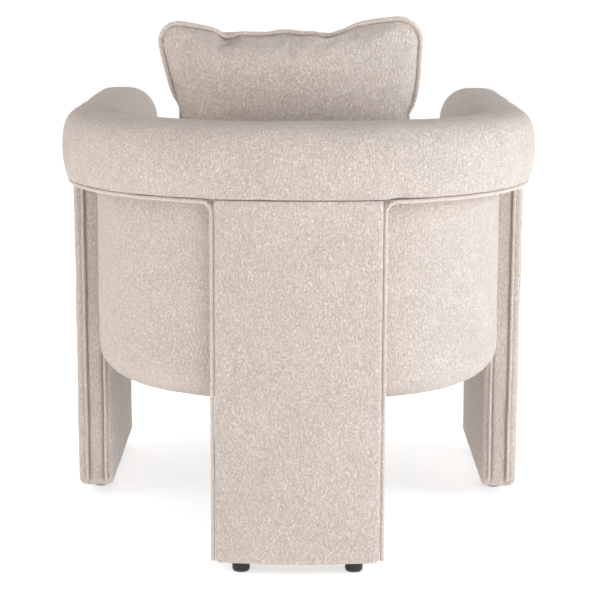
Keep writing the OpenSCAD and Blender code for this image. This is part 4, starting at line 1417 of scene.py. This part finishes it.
# ---- Zip ----
# A concealed zip closes the back of the seat cushion's side band. Only the two folded edges of
# its cream tape show, meeting along the middle and hiding the coil.
zip_low, zip_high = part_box("seat_cushion_zip")
zip_z = (zip_low.z + zip_high.z) / 2
zip_half_x = zip_high.x
tape_half = 0.0053


def zip_skin(x, z):
    """Place on the cushion's back at x and z, found on its skin."""
    hit = seat_tree.ray_cast(Vector((x, 0.6, z)), Vector((0, -1, 0)))[0]
    return seat_high.y if hit is None else hit.y


points = []
zip_columns = 56
for i in range(zip_columns + 1):
    x = -zip_half_x + 2 * zip_half_x * i / zip_columns
    y = zip_skin(x, zip_z)
    for k, (dz, proud) in enumerate(((-tape_half, 0.0000), (-0.002, 0.0007), (0, 0.0003),
                                     (0.002, 0.0007), (tape_half, 0.0000))):
        points.append((x, y + proud, zip_z + dz))
tape = add_mesh("seat_zip_tape", points, grid_faces(zip_columns + 1, 5))
thick_sheet(tape, 0.0006, (0, 0, zip_z))
tape_cloth = woven_material("zip_tape", (0.50, 0.44, 0.36), (0.74, 0.68, 0.60),
                            0.0008, 0.0008, 0.0002, 0.3, 0.6)
tape.data.materials.append(tape_cloth)
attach(tape, "seat_cushion")
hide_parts("seat_cushion_zip")

# ---- Back pillow ----
# A loose knife-edge pillow leans in the seat: two squares of boucle sewn face to face with
# piping in the seam, and filled with fibre. It is blown up from its flat cut by simulation.
pillow_low, pillow_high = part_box("back_pillow_cover")
pillow_centre = (pillow_low + pillow_high) / 2
pillow_w = 0.3960
pillow_h = 0.3780
pillow_t = 0.1300
pillow_lean = math.radians(10)
pillow_tip = math.radians(1.6)
pillow_aside = Vector((0.012, 0, -0.004))
pillow_side_fill = (0.007, 0.028)
pillow_end_fill = 0.022
pillow_cut = (0.440, 0.420)
pillow_corner_r = 0.026
grid_n = 70


def flat_square(size, corner):
    """Grid of points over a square with rounded corners, as columns of (x, z)."""
    n = grid_n + 1
    us = np.linspace(-0.5, 0.5, n)
    xs, zs = np.meshgrid(us * size[0], us * size[1], indexing="ij")
    rim = np.zeros((n, n), bool)
    rim[0, :] = rim[-1, :] = rim[:, 0] = rim[:, -1] = True
    for i, k in zip(*np.nonzero(rim)):
        x, z = xs[i, k], zs[i, k]
        inner_x = size[0] / 2 - corner
        inner_z = size[1] / 2 - corner
        if abs(x) > inner_x and abs(z) > inner_z:
            away = Vector((abs(x) - inner_x, abs(z) - inner_z)).normalized() * corner
            xs[i, k] = math.copysign(inner_x + away.x, x)
            zs[i, k] = math.copysign(inner_z + away.y, z)
    for _ in range(60):
        for grid in (xs, zs):
            mean = (grid[:-2, 1:-1] + grid[2:, 1:-1] + grid[1:-1, :-2] + grid[1:-1, 2:]) / 4
            grid[1:-1, 1:-1] = mean
    return xs, zs


pillow_x, pillow_z = flat_square(pillow_cut, pillow_corner_r)
n = grid_n + 1
points, faces, front_no, back_no = [], [], {}, {}
random.seed(5)
for i in range(n):
    for k in range(n):
        u, v = 2 * i / grid_n - 1, 2 * k / grid_n - 1
        lens = 0.012 * (1 - u * u) * (1 - v * v) ** 0.7 if abs(v) < 1 else 0
        on_rim = i in (0, grid_n) or k in (0, grid_n)
        jitter = 0.0006 * (random.random() - 0.5)
        front_no[i, k] = len(points)
        points.append((pillow_x[i, k], -lens + (0 if on_rim else jitter), pillow_z[i, k]))
        if on_rim:
            back_no[i, k] = front_no[i, k]
        else:
            back_no[i, k] = len(points)
            points.append((pillow_x[i, k], lens + jitter, pillow_z[i, k]))
for i in range(grid_n):
    for k in range(grid_n):
        faces.append([front_no[i + a, k + b] for a, b in ((0, 0), (1, 0), (1, 1), (0, 1))])
        faces.append([back_no[i + a, k + b] for a, b in ((0, 0), (0, 1), (1, 1), (1, 0))])
pillow = add_mesh("back_pillow_boucle", points, faces)
rim_order = [front_no[i, 0] for i in range(grid_n)] \
    + [front_no[grid_n, k] for k in range(grid_n)] \
    + [front_no[i, grid_n] for i in range(grid_n, 0, -1)] \
    + [front_no[0, k] for k in range(grid_n, 0, -1)]
shape = bmesh.new()
shape.from_mesh(pillow.data)
if shape.calc_volume(signed=True) < 0:
    bmesh.ops.reverse_faces(shape, faces=shape.faces)
shape.to_mesh(pillow.data)
shape.free()

blown = swell(pillow, 5.0, 30, 18.0, 0.6,
              lambda p: p[:, 1].max() - p[:, 1].min() > pillow_t * 1.08)
low, high = blown.min(0), blown.max(0)
pillow_size = np.array((pillow_w, pillow_t, pillow_h))
blown = (blown - (low + high) / 2) * (pillow_size / (high - low))
u = np.clip(blown[:, 0] / (pillow_w / 2), -1, 1)
v = np.clip(blown[:, 2] / (pillow_h / 2), -1, 1)
blown[:, 0] += np.where(u > 0, pillow_side_fill[0], pillow_side_fill[1]) * u * (1 - v * v)
blown[:, 2] += pillow_end_fill * v * (1 - u * u)
blown *= pillow_size / (blown.max(0) - blown.min(0))
set_points(pillow.data, blown)
ruffle(pillow, 0.0012, 0.05, 29)
lean_back = Matrix.Translation(pillow_centre + pillow_aside) \
    @ Matrix.Rotation(-pillow_lean, 4, "X") @ Matrix.Rotation(pillow_tip, 4, "Y")
rim_path = [pillow.data.vertices[j].co.copy() for j in rim_order]
rim_path = eased_path(even_path(rim_path, 0.004, True), 5)
rim_middle = sum(rim_path, Vector()) / len(rim_path)
rim_outward = []
for j, place in enumerate(rim_path):
    run = rim_path[(j + 1) % len(rim_path)] - rim_path[j - 1]
    out = run.cross(Vector((0, 1, 0))).normalized()
    if out.dot(place - rim_middle) < 0:
        out.negate()
    rim_outward.append(out)
pillow_welt_r = 0.0036
rim_path = [lean_back @ (p + o * pillow_welt_r * 0.75) for p, o in zip(rim_path, rim_outward)]
pillow.data.transform(lean_back)
outward(pillow)
smoother(pillow)
pillow.data.materials.append(boucle)
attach(pillow, "back_pillow")
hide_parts("back_pillow_cover")
pillow_piping = piping("back_pillow_piping", rim_path,
                       [Vector((0, -1, 0))] * len(rim_path), pillow_welt_r, True, 50)
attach(pillow_piping, "back_pillow")
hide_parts("back_pillow_welt")

# The filling is loose fibre in an inner bag of thin white cloth, a little smaller than the cover.
bag = pillow.copy()
bag.data = pillow.data.copy()
bag.name = "pillow_inner_bag"
scene.collection.objects.link(bag)
bag.modifiers.clear()
bag.parent = None
bag_normals = np.array([tuple(v.normal) for v in bag.data.vertices])
for key in list(bag.keys()):
    del bag[key]
set_points(bag.data, points_of(bag.data) - bag_normals * 0.0035)
bag_cloth, tree, shader = fresh_material("inner_bag")
tuft = flecks(tree, 160, 4.0, 0.8)
finish(tree, shader, colour_blend(tree, tuft, (0.78, 0.78, 0.76), (0.93, 0.93, 0.91)),
       stretch(tree, tuft, 0.2, 0.8, 0.95, 0.8), tuft, 0.0006, 0.6)
bag.data.materials.clear()
bag.data.materials.append(bag_cloth)
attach(bag, "back_pillow")
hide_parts("back_pillow_fill")

# ---- Sizes ----
# The box round every shown piece of the finished chair.
low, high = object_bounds()
